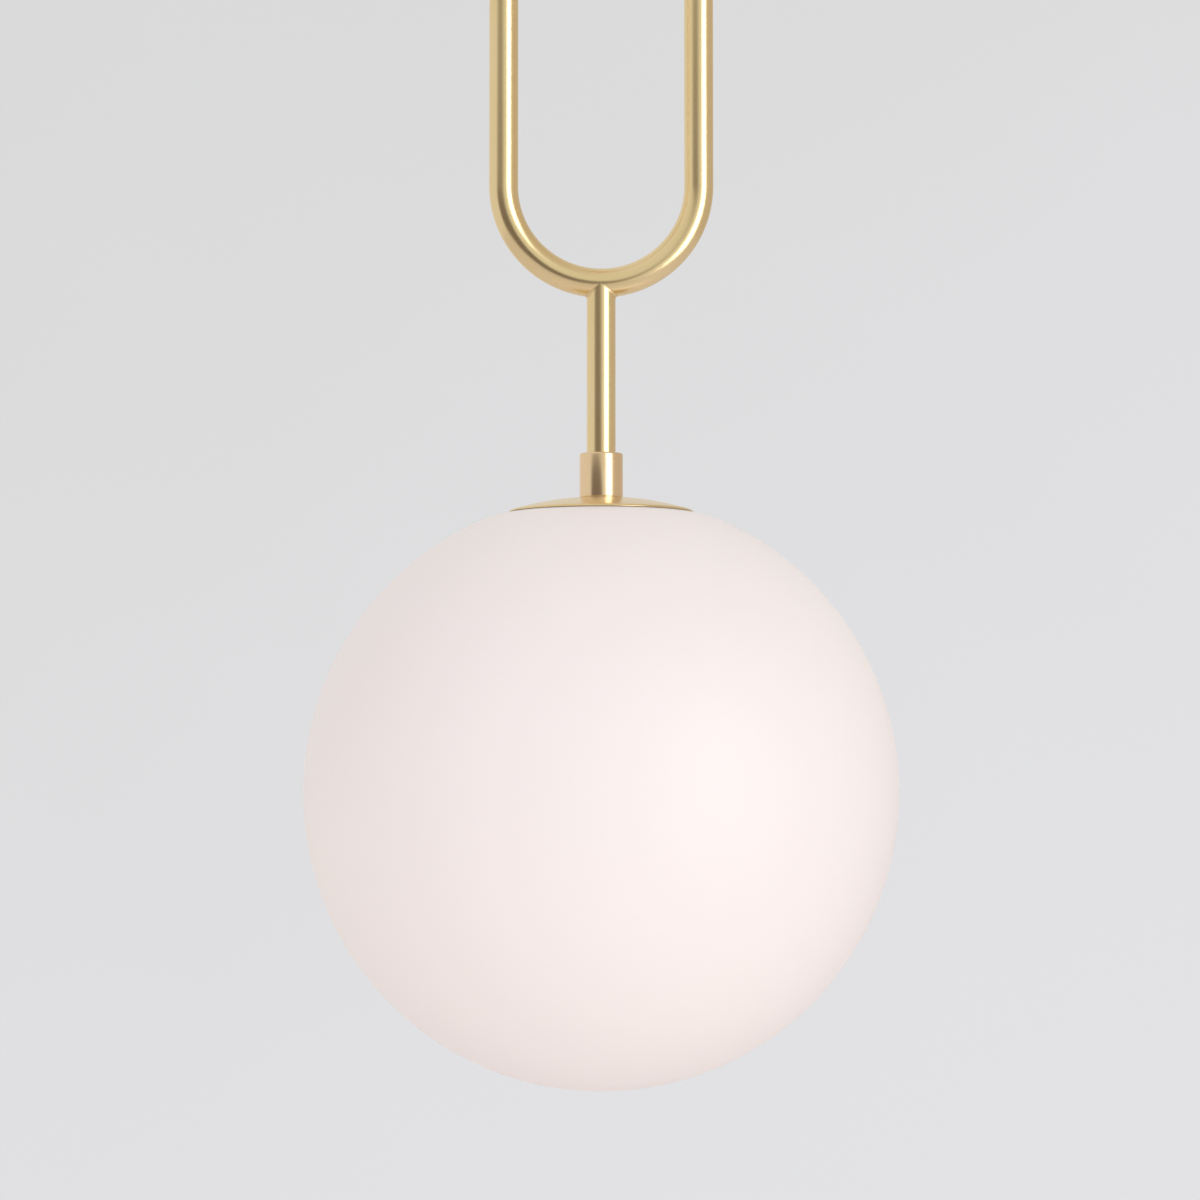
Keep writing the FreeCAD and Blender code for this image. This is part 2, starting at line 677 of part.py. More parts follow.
def loop_half(label, bend_height, crown_up):
    """Half of the loop: one round tube bent through a half circle, with a straight leg each side.
    The bend has a hole in its crown where the leads pass into the stem."""
    body = doc.addObject("PartDesign::Body", label)
    bore = "loop_tube_radius - loop_tube_wall"
    section = sketch_on(body, "XY_Plane", bend_height)
    draw_circles(section, [("bend_radius", "0", "loop_tube_radius"), ("bend_radius", "0", bore)])
    bend = body.newObject("PartDesign::Revolution", label + "_bend")
    bend.Profile = section
    bend.ReferenceAxis = (section, ["V_Axis"])
    bend.Angle = 180
    bend.Reversed = crown_up
    doc.recompute()
    feet = sketch_on(body, "XY_Plane", bend_height)
    draw_circles(feet, [(f"{side}bend_radius", "0", radius) for side in ("", "-")
                        for radius in ("loop_tube_radius", bore)])
    legs = body.newObject("PartDesign::Pad", label + "_legs")
    legs.Profile = feet
    legs.setExpression("Length", bound("loop_straight / 2"))
    legs.Reversed = crown_up
    doc.recompute()
    crown = f"{bend_height} {'+' if crown_up else '-'} bend_radius"
    hole_sketch = sketch_on(body, "XY_Plane", crown)
    draw_circles(hole_sketch, [("0", "0", "bolt_bore_radius + free_gap * 2")])
    hole = body.newObject("PartDesign::Pocket", label + "_hole")
    hole.Profile = hole_sketch
    hole.setExpression("Length", bound("loop_tube_radius * 2"))
    hole.Reversed = crown_up
    before = bend.Shape.Volume
    doc.recompute()
    if body.Shape.Volume >= legs.Shape.Volume or legs.Shape.Volume <= before:
        raise RuntimeError(f"{label}: the legs or the lead hole point the wrong way")
    named(body, label)


def loop_ferrules():
    """Two short sleeves inside the legs, where the two halves of the loop meet."""
    bore = "loop_tube_radius - loop_tube_wall"
    sleeves = []
    for side in ("", "-"):
        sleeve = ring("ferrule", f"{bore} - ferrule_wall", bore, "loop_joint_z - ferrule_length / 2",
                      "loop_joint_z + ferrule_length / 2")
        sleeves.append(place(sleeve, f"{side}bend_radius"))
    group("loop_ferrules", sleeves)


def braze_seams():
    """The thin saddle of braze round each stem's foot, where it meets the loop."""
    seams = []
    wide = "stem_radius + seam_width"
    depth = "loop_tube_radius + seam_width * 2"
    for bend_height, low in (("upper_bend_z", "upper_bend_z + bend_radius"),
                             ("lower_bend_z", f"lower_bend_line - ({depth})")):
        sheath = cylinder("seam_sheath", wide, depth, z=low)
        skin = bend_torus("seam_skin", "loop_tube_radius + seam_width", bend_height)
        tube = bend_torus("seam_tube", "loop_tube_radius", bend_height)
        stem = cylinder("seam_stem", "stem_radius", f"({depth}) * 3", z=f"{low} - ({depth})")
        seams.append(cut("seam", common("seam_blank", sheath, skin), tube, stem))
    group("braze_seams", seams)


# ---- holder ------------------------------------------------------------------------------------


def collar():
    """The plain barrel under the stem, tapped for the nipple below the stem's end."""
    step = "collar_top - stem_in_collar"
    named(turned("collar", [
        ("bolt_radius", "collar_bottom"), ("collar_radius - edge_break", "collar_bottom"),
        ("collar_radius", "collar_bottom + edge_break"),
        ("collar_radius", "collar_top - edge_break", "edge_break", 1),
        ("collar_radius - edge_break", "collar_top"), ("stem_radius", "collar_top"),
        ("stem_radius", step), ("bolt_radius", step)]), "collar")


def holder_nipple():
    """The hollow threaded tube that draws collar, cap, gallery and lampholder together."""
    named(ring("holder_nipple", "bolt_bore_radius", "bolt_radius", "holder_top - nipple_in_holder",
               "collar_top - stem_in_collar"), "holder_nipple")


def dome_cap():
    """The shallow spun cap over the mouth of the glass, flat under the collar, with a short lip."""
    hole = "bolt_radius + running_gap"
    inner = "cap_radius - cap_wall"
    named(turned("dome_cap", [
        (hole, "collar_bottom - cap_wall"), ("collar_radius", "collar_bottom - cap_wall", "cap_skin", -1),
        (inner, f"cap_centre + sqrt(cap_skin ^ 2 - ({inner}) ^ 2)"), (inner, "cap_rim"),
        ("cap_radius", "cap_rim"), ("cap_radius", "cap_edge", "cap_dome_radius", 1),
        ("collar_radius", "collar_bottom"), (hole, "collar_bottom")]), "dome_cap")


def glass_gasket():
    """The thin ring under the cap that the glass bears up against."""
    far = "cap_radius - cap_wall - gasket_inset"
    near = f"{far} - gasket_width"

    def under(radius, drop):
        return f"cap_centre + sqrt((cap_skin - {drop}) ^ 2 - ({radius}) ^ 2)"

    named(turned("glass_gasket", [
        (near, under(near, "gasket_thickness")), (far, under(far, "gasket_thickness")),
        (far, under(far, "skin_ease")), (near, under(near, "skin_ease"))]), "glass_gasket")


SPRING_TURNS = (90, 210, 330)


def gallery():
    """The plate inside the mouth that carries the springs, its spacer and its locknut."""
    named(ring("gallery_spacer", "bolt_radius + running_gap", "collar_radius", "gallery_top",
               "collar_bottom - cap_wall"), "gallery_spacer")
    plate = ring("gallery_blank", "bolt_radius + running_gap", "gallery_radius", "gallery_bottom",
                 "gallery_top")
    holes = [cylinder("spring_screw_hole", "leaf_screw_radius", "gallery_thickness * 4",
                      f"leaf_screw_reach * cos({turn})", f"leaf_screw_reach * sin({turn})",
                      "gallery_bottom - gallery_thickness") for turn in SPRING_TURNS]
    named(cut("gallery_plate", plate, *holes), "gallery_plate")
    hex_nut("gallery_locknut", "holder_top", "bolt_radius")


def globe_springs():
    """Three leaf springs that reach down through the mouth and bear up under the glass shoulder,
    with the screws that hold them to the gallery plate."""
    leaf = "spring_thickness"
    root = "spring_root_radius"
    knee = "gallery_radius + 1"
    toe = "mouth_radius - spring_toe_inset"
    tip = "mouth_radius + spring_tip_reach"
    dip = "gallery_bottom - spring_dip"
    tip_top = "crown_centre + sqrt((crown_radius - glass_wall) ^ 2 - (mouth_radius + spring_tip_reach) ^ 2)"
    tip_top += " - free_gap"
    springs = []
    screws = []
    for turn in SPRING_TURNS:
        strip = padded("leaf", [
            (root, f"gallery_bottom - {leaf}"), (f"{knee} - {leaf}", f"gallery_bottom - {leaf}"),
            (f"{toe} - {leaf}", f"{dip} - {leaf}"), (f"{toe} + {leaf}", f"{dip} - {leaf}"),
            (tip, f"{tip_top} - {leaf}"), (tip, tip_top), (toe, dip), (knee, "gallery_bottom"),
            (root, "gallery_bottom")], "-spring_width / 2", "spring_width", "XZ_Plane")
        hole = cylinder("leaf_hole", "leaf_screw_radius", "spring_dip * 2", "leaf_screw_reach", "0",
                        "gallery_bottom - spring_dip")
        springs.append(place(cut("spring", strip, hole), axis=Z_AXIS, turn=turn))
        head_seat = f"gallery_bottom - {leaf}"
        head_low = f"{head_seat} - leaf_head_height"
        screw = turned("spring_screw", [
            ("0", head_low), ("leaf_head_radius - 0.2", head_low), ("leaf_head_radius", f"{head_low} + 0.4"),
            ("leaf_head_radius", head_seat), ("leaf_screw_radius", head_seat),
            ("leaf_screw_radius", "gallery_top"), ("0", "gallery_top")])
        screws.append(place(screw, f"leaf_screw_reach * cos({turn})", f"leaf_screw_reach * sin({turn})"))
    group("globe_springs", springs)
    group("spring_screws", screws)


def lampholder():
    """A screw lampholder: its cap on the nipple, sleeve, insulating core, screw shell and contact."""
    bore = "holder_radius - holder_wall"
    roof = "holder_top - holder_roof"
    named(turned("holder_cap", [
        ("bolt_radius", roof), (bore, roof), (bore, "sleeve_top"), ("holder_radius", "sleeve_top"),
        ("holder_radius", "holder_top - holder_chamfer"), ("holder_radius - holder_chamfer", "holder_top"),
        ("bolt_radius", "holder_top")]), "holder_cap")
    shell_out = "screw_radius + shell_gap + shell_wall"
    mouth = f"{shell_out} + shell_wall * 2"
    named(turned("holder_sleeve", [
        (mouth, "sleeve_bottom"), ("holder_radius", "sleeve_bottom"), ("holder_radius", "sleeve_top"),
        (bore, "sleeve_top"), (bore, "sleeve_bottom + holder_wall"),
        (mouth, "sleeve_bottom + holder_wall")]), "holder_sleeve")
    core_out = f"{bore} - running_gap"
    named(turned("holder_core", [
        ("0", "core_floor"), (shell_out, "core_floor"), (shell_out, "sleeve_bottom + holder_wall"),
        (core_out, "sleeve_bottom + holder_wall"), (core_out, "core_top"), ("0", "core_top")]), "holder_core")
    named(ring("screw_shell", "screw_radius + shell_gap", shell_out, "core_floor - screw_length",
               "core_floor"), "screw_shell")
    named(ring("centre_contact", "0", "centre_contact_radius", "core_floor - centre_contact_height",
               "core_floor"), "centre_contact")


def terminals():
    """Three brass posts on the lampholder's core, each with a clamp screw for its lead."""
    posts = []
    screws = []
    wire_z = "core_top + post_wire_height"
    tap = "core_top + post_height - post_screw_length"
    for x_side, y_side in ((0, -1), (0, 1), (-1, 0)):
        x = f"{x_side} * post_reach"
        y = f"{y_side} * post_reach"
        post = block("post", "post_width", "post_width", "post_height", x, y, "core_top")
        if y_side:
            wire_hole = along_y("post_hole", "post_wire_radius", "post_width", x,
                                f"{y_side} * (post_reach - post_width / 3)", wire_z)
        else:
            wire_hole = along_x("post_hole", "post_wire_radius", "post_width",
                                "-post_reach - post_width / 6", y, wire_z)
        posts.append(cut("terminal_post", post, wire_hole,
                         cylinder("post_tap", "post_screw_radius", "post_height", x, y, tap)))
        screws.append(post_screw(x, y, tap))
    group("terminal_posts", posts)
    group("post_screws", screws)


def post_screw(x, y, tap):
    """A cheese-head clamp screw standing in a terminal post."""
    seat = "core_top + post_height"
    top = f"{seat} + post_head_height"
    screw = turned("post_screw", [
        ("0", tap), ("post_screw_radius", tap), ("post_screw_radius", seat), ("post_head_radius", seat),
        ("post_head_radius", top), ("0", top)])
    slot = block("post_screw_slot", "post_head_radius * 3", "driver_slot", "driver_depth * 2",
                 z=f"{top} - driver_depth")
    return place(cut("post_screw_slotted", screw, slot), x, y)


# ---- glass and bulb ----------------------------------------------------------------------------


def glass_globe():
    """The blown glass ball: a sphere with a flatter crown above a shoulder, and a plain mouth.
    The inside follows the outside one wall away, so its shoulder is where the two inner arcs meet."""
    inner_globe = "globe_radius - glass_wall"
    inner_crown = "crown_radius - glass_wall"
    shoulder = "crown_centre + crown_rise"
    lift = "(crown_centre - globe_z)"
    meet = f"((({inner_globe}) ^ 2 - ({inner_crown}) ^ 2 + {lift} ^ 2) / (2 * {lift}))"
    inside = f"sqrt(({inner_globe}) ^ 2 - {meet} ^ 2)"
    lip = "mouth_radius + mouth_edge"
    under_lip = f"crown_centre + sqrt(({inner_crown}) ^ 2 - ({lip}) ^ 2)"
    named(turned("glass_globe", [
        ("0", "globe_z - globe_radius", "globe_radius", 1),
        ("shoulder_radius", shoulder, "crown_radius", 1),
        (lip, "glass_top", "mouth_edge", 1),
        ("mouth_radius", "glass_top - mouth_edge"),
        ("mouth_radius", f"{under_lip} + mouth_edge", "mouth_edge", 1),
        (lip, under_lip, inner_crown, -1),
        (inside, f"globe_z + {meet}", inner_globe, -1),
        ("0", f"globe_z - ({inner_globe})")]), "glass_globe")


def bulb():
    """A lamp with a screw cap, an insulated tip contact, a plastic body and a frosted dome."""
    cap_top = "bulb_neck + screw_length"
    cap_under = f"{cap_top} - 1"
    spigot = "screw_radius - bulb_spigot_inset"
    tip_seat = "bulb_top - bulb_spigot_inset"
    named(turned("bulb_cap", [
        (spigot, "bulb_neck"), ("screw_radius", "bulb_neck"), ("screw_radius", f"{cap_top} - 2"),
        ("screw_radius - 2", cap_top), ("bulb_insulator_radius", cap_top),
        ("bulb_insulator_radius", cap_under), ("screw_radius - bulb_spigot_inset * 3", cap_under),
        (spigot, f"{cap_top} - 2.6")]), "bulb_cap")
    named(turned("bulb_insulator", [
        ("bulb_contact_radius", cap_under), ("bulb_insulator_radius", cap_under),
        ("bulb_insulator_radius", cap_top), ("bulb_contact_radius + 0.5", tip_seat),
        ("bulb_contact_radius", tip_seat)]), "bulb_insulator")
    named(turned("bulb_contact", [
        ("0", cap_under), ("bulb_contact_radius", cap_under), ("bulb_contact_radius", tip_seat),
        ("bulb_contact_radius - 1", "bulb_top"), ("0", "bulb_top")]), "bulb_contact")
    equator = "bulb_low + bulb_radius"
    skirt = f"{equator} + bulb_skirt"
    flange = "screw_radius + 0.2"
    socket = f"{spigot} - bulb_wall"
    named(turned("bulb_body", [
        (spigot, "bulb_neck + 6"), (spigot, "bulb_neck"), (flange, "bulb_neck"),
        (flange, "bulb_neck - 3", "bulb_flare_radius", 1), ("bulb_radius", skirt),
        ("bulb_radius - bulb_wall", skirt, "bulb_flare_radius + bulb_wall", -1),
        (spigot, "bulb_neck - 3.5"), (socket, "bulb_neck - 1"), (socket, "bulb_neck + 6")]), "bulb_body")
    inner = "bulb_radius - bulb_dome_wall"
    named(turned("bulb_dome", [
        ("0", "bulb_low", "bulb_radius", 1), ("bulb_radius", equator), ("bulb_radius", skirt),
        (inner, skirt), (inner, equator, inner, -1), ("0", "bulb_low + bulb_dome_wall")]), "bulb_dome")
    board = f"{equator} + board_height"
    named(ring("bulb_board", "0", f"{inner} - free_gap", board, f"{board} + board_thickness"), "bulb_board")


# ---- leads -------------------------------------------------------------------------------------


def tangent_path(points, radii):
    """Straight runs between points, joined at each inner point by an arc of the radius given."""
    edges = []
    at = points[0]
    for index, radius in enumerate(radii, start=1):
        corner = points[index]
        before = (points[index - 1] - corner).normalize()
        after = (points[index + 1] - corner).normalize()
        half = before.getAngle(after) / 2
        reach = radius / math.tan(half)
        start = corner + before * reach
        end = corner + after * reach
        bisector = (before + after).normalize()
        middle = corner + bisector * (radius / math.sin(half) - radius)
        edges.append(Part.LineSegment(at, start).toShape())
        edges.append(Part.Arc(start, middle, end).toShape())
        at = end
    edges.append(Part.LineSegment(at, points[-1]).toShape())
    return edges


def lead_tube(label, edges):
    """A round lead along a path, checked against its section times its length."""
    path = Part.Wire(edges)
    radius = value("lead_radius")
    start = path.Edges[0].valueAt(path.Edges[0].FirstParameter)
    heading = path.Edges[0].tangentAt(path.Edges[0].FirstParameter)
    section = Part.Wire(Part.Circle(start, heading, radius).toShape())
    tube = path.makePipeShell([section], True, False)
    full = math.pi * radius ** 2 * path.Length
    if abs(tube.Volume / full - 1) > 0.01:
        raise RuntimeError(f"{label}: volume {tube.Volume:.1f} for a length that needs {full:.1f}")
    print(f"{label}: {path.Length:.0f} mm of lead")
    lead = doc.addObject("Part::Feature", label)
    lead.Shape = tube
    lead.Placement = FreeCAD.Placement()
    named(lead, label)


def bend_arc(centre, radius, first, last):
    """An arc in a plane of constant Y, from one angle above +X to another, in degrees."""
    at = [centre + Vector(radius * math.cos(math.radians(angle)), 0, radius * math.sin(math.radians(angle)))
          for angle in (first, (first + last) / 2, last)]
    return Part.Arc(*at).toShape()


def leads():
    """Three leads, in three lengths each: ceiling block to hanger bolt, across the swivel, and down
    through stem, left leg of the loop, lower stem and nipple to the lampholder."""
    offset = value("lead_offset")
    in_bend = value("lead_in_bend")
    turn = value("lead_turn")
    upper = value("upper_bend_z")
    lower = value("lower_bend_z")
    swivel_high = value("bolt_bottom + bolt_head_height * 0.4")
    swivel_low = value("tongue_shoulder")
    wire_z = value("-plate_thickness - block_height / 2")
    block_face = value("-block_offset + block_width / 2")
    entry = value("lead_in_block")
    post_z = value("core_top + post_wire_height")
    post_face = value("post_reach - post_width / 6")
    rise = math.sqrt((turn + in_bend) ** 2 - (turn - offset) ** 2)
    lean = math.degrees(math.asin((turn - offset) / (turn + in_bend)))
    for kind, step in (("live", -1), ("neutral", 1), ("earth", 0)):
        across = step * value("lead_pitch")
        way = step * value("block_pitch")
        points = [Vector(offset, across, swivel_high), Vector(offset, across, wire_z)]
        if way:
            points.append(Vector(block_face + entry, way, wire_z))
        points.append(Vector(block_face - entry, way, wire_z))
        lead_tube(f"ceiling_{kind}", tangent_path(points, [value("lead_corner")] * (len(points) - 2)))
        lead_tube(f"swivel_{kind}", [Part.LineSegment(Vector(offset, across, swivel_low),
                                                      Vector(offset, across, swivel_high)).toShape()])
        top_turn = Vector(offset - turn, across, upper + rise)
        low_turn = Vector(offset - turn, across, lower - rise)
        upper_centre = Vector(0, across, upper)
        lower_centre = Vector(0, across, lower)
        route = [
            Part.LineSegment(Vector(offset, across, swivel_low),
                             Vector(offset, across, top_turn.z)).toShape(),
            bend_arc(top_turn, turn, 0, lean - 90),
            bend_arc(upper_centre, in_bend, 90 + lean, 180),
            Part.LineSegment(Vector(-in_bend, across, upper), Vector(-in_bend, across, lower)).toShape(),
            bend_arc(lower_centre, in_bend, 180, 270 - lean),
            bend_arc(low_turn, turn, 90 - lean, 0)]
        end = Vector(0, step * post_face, post_z) if step else Vector(-post_face, 0, post_z)
        foot = Vector(offset, across, post_z)
        route += tangent_path([Vector(offset, across, low_turn.z), foot, end], [value("lead_foot_corner")])
        lead_tube(f"pendant_{kind}", route)


# ---- the whole light ---------------------------------------------------------------------------

mounting_plate()
earth_screw()
canopy()
canopy_fixings()
hanger()
swivel_seat()
terminal_block()
swivel_fork()
swivel_tongue()
pivot_screws()
upper_stem()
loop_half("loop_upper", "upper_bend_z", True)
loop_half("loop_lower", "lower_bend_z", False)
loop_ferrules()
braze_seams()
lower_stem()
collar()
holder_nipple()
dome_cap()
glass_gasket()
gallery()
globe_springs()
lampholder()
terminals()
glass_globe()
bulb()
leads()
doc.recompute()

for thing in doc.Objects:
    if "Invalid" in thing.State or "Error" in thing.State:
        raise RuntimeError(f"{thing.Label} failed: {thing.State}")
for part in parts:
    if part.Shape.isNull() or not part.Shape.isValid() or not part.Shape.Solids:
        raise RuntimeError(f"{part.Label} has no sound solid")

os.makedirs("parts", exist_ok=True)
for part in parts:
    part.Shape.exportStep(f"parts/{part.Label}.step")
print(f"{len(parts)} nodes")
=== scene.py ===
import bpy
import json
import math
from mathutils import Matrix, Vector


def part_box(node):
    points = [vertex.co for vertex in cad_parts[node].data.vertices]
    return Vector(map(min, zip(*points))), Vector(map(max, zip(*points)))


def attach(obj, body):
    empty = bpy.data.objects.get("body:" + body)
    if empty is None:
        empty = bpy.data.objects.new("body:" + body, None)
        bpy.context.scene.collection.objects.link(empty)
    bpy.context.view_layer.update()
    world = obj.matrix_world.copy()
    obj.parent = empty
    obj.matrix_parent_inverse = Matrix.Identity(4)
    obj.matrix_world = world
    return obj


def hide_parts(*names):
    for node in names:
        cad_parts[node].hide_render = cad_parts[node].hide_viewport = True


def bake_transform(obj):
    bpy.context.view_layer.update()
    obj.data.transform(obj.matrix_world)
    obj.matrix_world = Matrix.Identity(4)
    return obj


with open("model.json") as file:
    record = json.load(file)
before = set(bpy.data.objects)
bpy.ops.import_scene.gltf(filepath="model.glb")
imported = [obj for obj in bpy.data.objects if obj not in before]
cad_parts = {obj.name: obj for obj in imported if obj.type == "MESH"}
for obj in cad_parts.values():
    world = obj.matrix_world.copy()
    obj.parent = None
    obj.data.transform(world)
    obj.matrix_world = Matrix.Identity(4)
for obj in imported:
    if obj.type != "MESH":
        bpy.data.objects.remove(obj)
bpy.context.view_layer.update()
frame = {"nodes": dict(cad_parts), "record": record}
nodes = frame["nodes"]

# ---- places, in metres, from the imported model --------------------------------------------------


def low(node):
    """The lowest corner of a CAD node."""
    return Vector(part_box(node)[0])


def high(node):
    """The highest corner of a CAD node."""
    return Vector(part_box(node)[1])


def outer_radius(node):
    """Half of a round node's width."""
    return (high(node).x - low(node).x) / 2


TURN_STEPS = 192
FILLET_STEPS = 6
THREAD_PITCH = 0.0036  # of the bulb's cap and the holder's shell
LOOP_TUBE = (high("loop_lower").y - low("loop_lower").y) / 2
BEND = outer_radius("loop_lower") - LOOP_TUBE
LOOP_JOINT = low("loop_upper").z
UPPER_BEND = high("loop_upper").z - LOOP_TUBE - BEND
LOWER_BEND = low("loop_lower").z + LOOP_TUBE + BEND
STEM = outer_radius("lower_stem")
STEM_WALL = 0.00115
STEM_BORE = STEM - STEM_WALL
GLOBE = (high("glass_globe").y - low("glass_globe").y) / 2
GLOBE_Z = low("glass_globe").z + GLOBE

# ---- mesh helpers ------------------------------------------------------------------------------


def link(name, mesh, body, slot, *replaced):
    """Make a piece of a mesh, ride it on its body and hide the CAD nodes it stands for."""
    piece = bpy.data.objects.new(name, mesh)
    bpy.context.scene.collection.objects.link(piece)
    if body:
        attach(piece, body)
    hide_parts(*replaced)
    return piece


def rounded(corners):
    """A closed outline's points.  A corner is (radius, height) or (radius, height, fillet)."""
    points = []
    count = len(corners)
    for index, corner in enumerate(corners):
        at = Vector(corner[:2])
        fillet = corner[2] if len(corner) > 2 else 0
        if not fillet:
            points.append(at)
            continue
        before = (Vector(corners[index - 1][:2]) - at).normalized()
        after = (Vector(corners[(index + 1) % count][:2]) - at).normalized()
        half = before.angle(after) / 2
        centre = at + (before + after).normalized() * (fillet / math.sin(half))
        start = at + before * (fillet / math.tan(half)) - centre
        end = at + after * (fillet / math.tan(half)) - centre
        sweep = start.angle_signed(end)
        for step in range(FILLET_STEPS + 1):
            turn = -sweep * step / FILLET_STEPS
            spun = Vector((start.x * math.cos(turn) - start.y * math.sin(turn),
                           start.x * math.sin(turn) + start.y * math.cos(turn)))
            points.append(centre + spun)
    return points


def arc(centre_height, radius, first, last, steps):
    """Points of an arc about a centre on the axis, between two angles above level, in degrees."""
    turns = [math.radians(first + (last - first) * step / steps) for step in range(steps + 1)]
    return [Vector((radius * math.cos(turn), centre_height + radius * math.sin(turn))) for turn in turns]


def grain_map(mesh, across, along):
    """A UV layer in metres: along a piece's grain and across it, one pair for each face corner."""
    layer = mesh.uv_layers.new(name="grain")
    for corner, (u, v) in enumerate(zip(across, along)):
        layer.data[corner].uv = (u, v)


def grained_mesh(name, verts, faces, across, along):
    """A smooth mesh with its grain map."""
    mesh = bpy.data.meshes.new(name)
    mesh.from_pydata(verts, [], faces)
    grain_map(mesh, across, along)
    mesh.shade_smooth()
    mesh.update()
    return mesh


def lathe_mesh(name, points, steps=TURN_STEPS, shape=None):
    """Turn a closed outline about Z.  shape(angle, radius, height) may move a point outwards."""
    count = len(points)
    verts = []
    ring_of = []
    for point in points:
        if point[0] < 1e-7:
            ring_of.append([len(verts)] * steps)
            verts.append((0, 0, point[1]))
            continue
        ring_of.append(list(range(len(verts), len(verts) + steps)))
        for step in range(steps):
            angle = 2 * math.pi * step / steps
            radius = point[0] + (shape(angle, point[0], point[1]) if shape else 0)
            verts.append((radius * math.cos(angle), radius * math.sin(angle), point[1]))
    lengths = [0]
    for index in range(count):
        here = Vector(points[index][:2])
        there = Vector(points[(index + 1) % count][:2])
        lengths.append(lengths[-1] + (there - here).length)
    faces = []
    across = []
    along = []
    widest = max(point[0] for point in points)
    for index in range(count):
        here = ring_of[index]
        there = ring_of[(index + 1) % count]
        if here[0] == here[1] and there[0] == there[1]:
            continue
        for step in range(steps):
            after = (step + 1) % steps
            corners = [(here[step], step, lengths[index]), (here[after], step + 1, lengths[index]),
                       (there[after], step + 1, lengths[index + 1]), (there[step], step, lengths[index + 1])]
            kept = []
            for corner in corners:
                if corner[0] not in [other[0] for other in kept]:
                    kept.append(corner)
            faces.append([corner[0] for corner in kept])
            across += [2 * math.pi * widest * corner[1] / steps for corner in kept]
            along += [corner[2] for corner in kept]
    return grained_mesh(name, verts, faces, across, along)


def lathe(name, corners, body, slot, *replaced, steps=TURN_STEPS):
    """A turned piece with eased edges."""
    mesh = lathe_mesh(name, rounded(corners), steps)
    return link(name, mesh, body, slot, *replaced)


def tube_mesh(name, path, outline):
    """Carry a closed outline along a path.  path gives (point, side, up) frames and outline (a, b)."""
    count = len(outline)
    verts = []
    for point, side, up in path:
        for a, b in outline:
            verts.append(point + side * a + up * b)
    faces = []
    across = []
    along = []
    length = 0
    around = [0]
    for index in range(count):
        here = Vector(outline[index])
        there = Vector(outline[(index + 1) % count])
        around.append(around[-1] + (there - here).length)
    for run in range(len(path) - 1):
        following = run + 1
        step = (path[following][0] - path[run][0]).length
        for index in range(count):
            after = (index + 1) % count
            faces.append([run * count + index, run * count + after, following * count + after,
                          following * count + index])
            across += [around[index], around[index + 1], around[index + 1], around[index]]
            along += [length, length, length + step, length + step]
        length += step
    faces.append(list(range(count))[::-1])
    faces.append(list(range(len(verts) - count, len(verts))))
    across += [0] * (2 * count)
    along += [0] * (2 * count)
    return grained_mesh(name, verts, faces, across, along)


def circle(radius, steps):
    """A round outline."""
    return [(radius * math.cos(2 * math.pi * step / steps), radius * math.sin(2 * math.pi * step / steps))
            for step in range(steps)]


def joined(name, meshes):
    """Several meshes in one."""
    verts = []
    faces = []
    maps = []
    for mesh in meshes:
        start = len(verts)
        verts += [vertex.co.copy() for vertex in mesh.vertices]
        faces += [[start + index for index in face.vertices] for face in mesh.polygons]
        maps += [tuple(item.uv) for item in mesh.uv_layers["grain"].data]
    return grained_mesh(name, verts, faces, [pair[0] for pair in maps], [pair[1] for pair in maps])


def moved(mesh, y):
    """A mesh shifted sideways, along Y."""
    for vertex in mesh.vertices:
        vertex.co += Vector((0, y, 0))
    return mesh


# ---- materials ---------------------------------------------------------------------------------


class Tree:
    """A node tree built up step by step."""

    def __init__(self, tree):
        self.tree = tree

    def node(self, kind, **settings):
        """A node with its sockets or properties set by name."""
        made = self.tree.nodes.new(kind)
        for key, setting in settings.items():
            label = key.replace("_", " ")
            if label in made.inputs:
                made.inputs[label].default_value = setting
            else:
                setattr(made, key, setting)
        return made

    def wire(self, source, target):
        """Join two sockets."""
        self.tree.links.new(source, target)


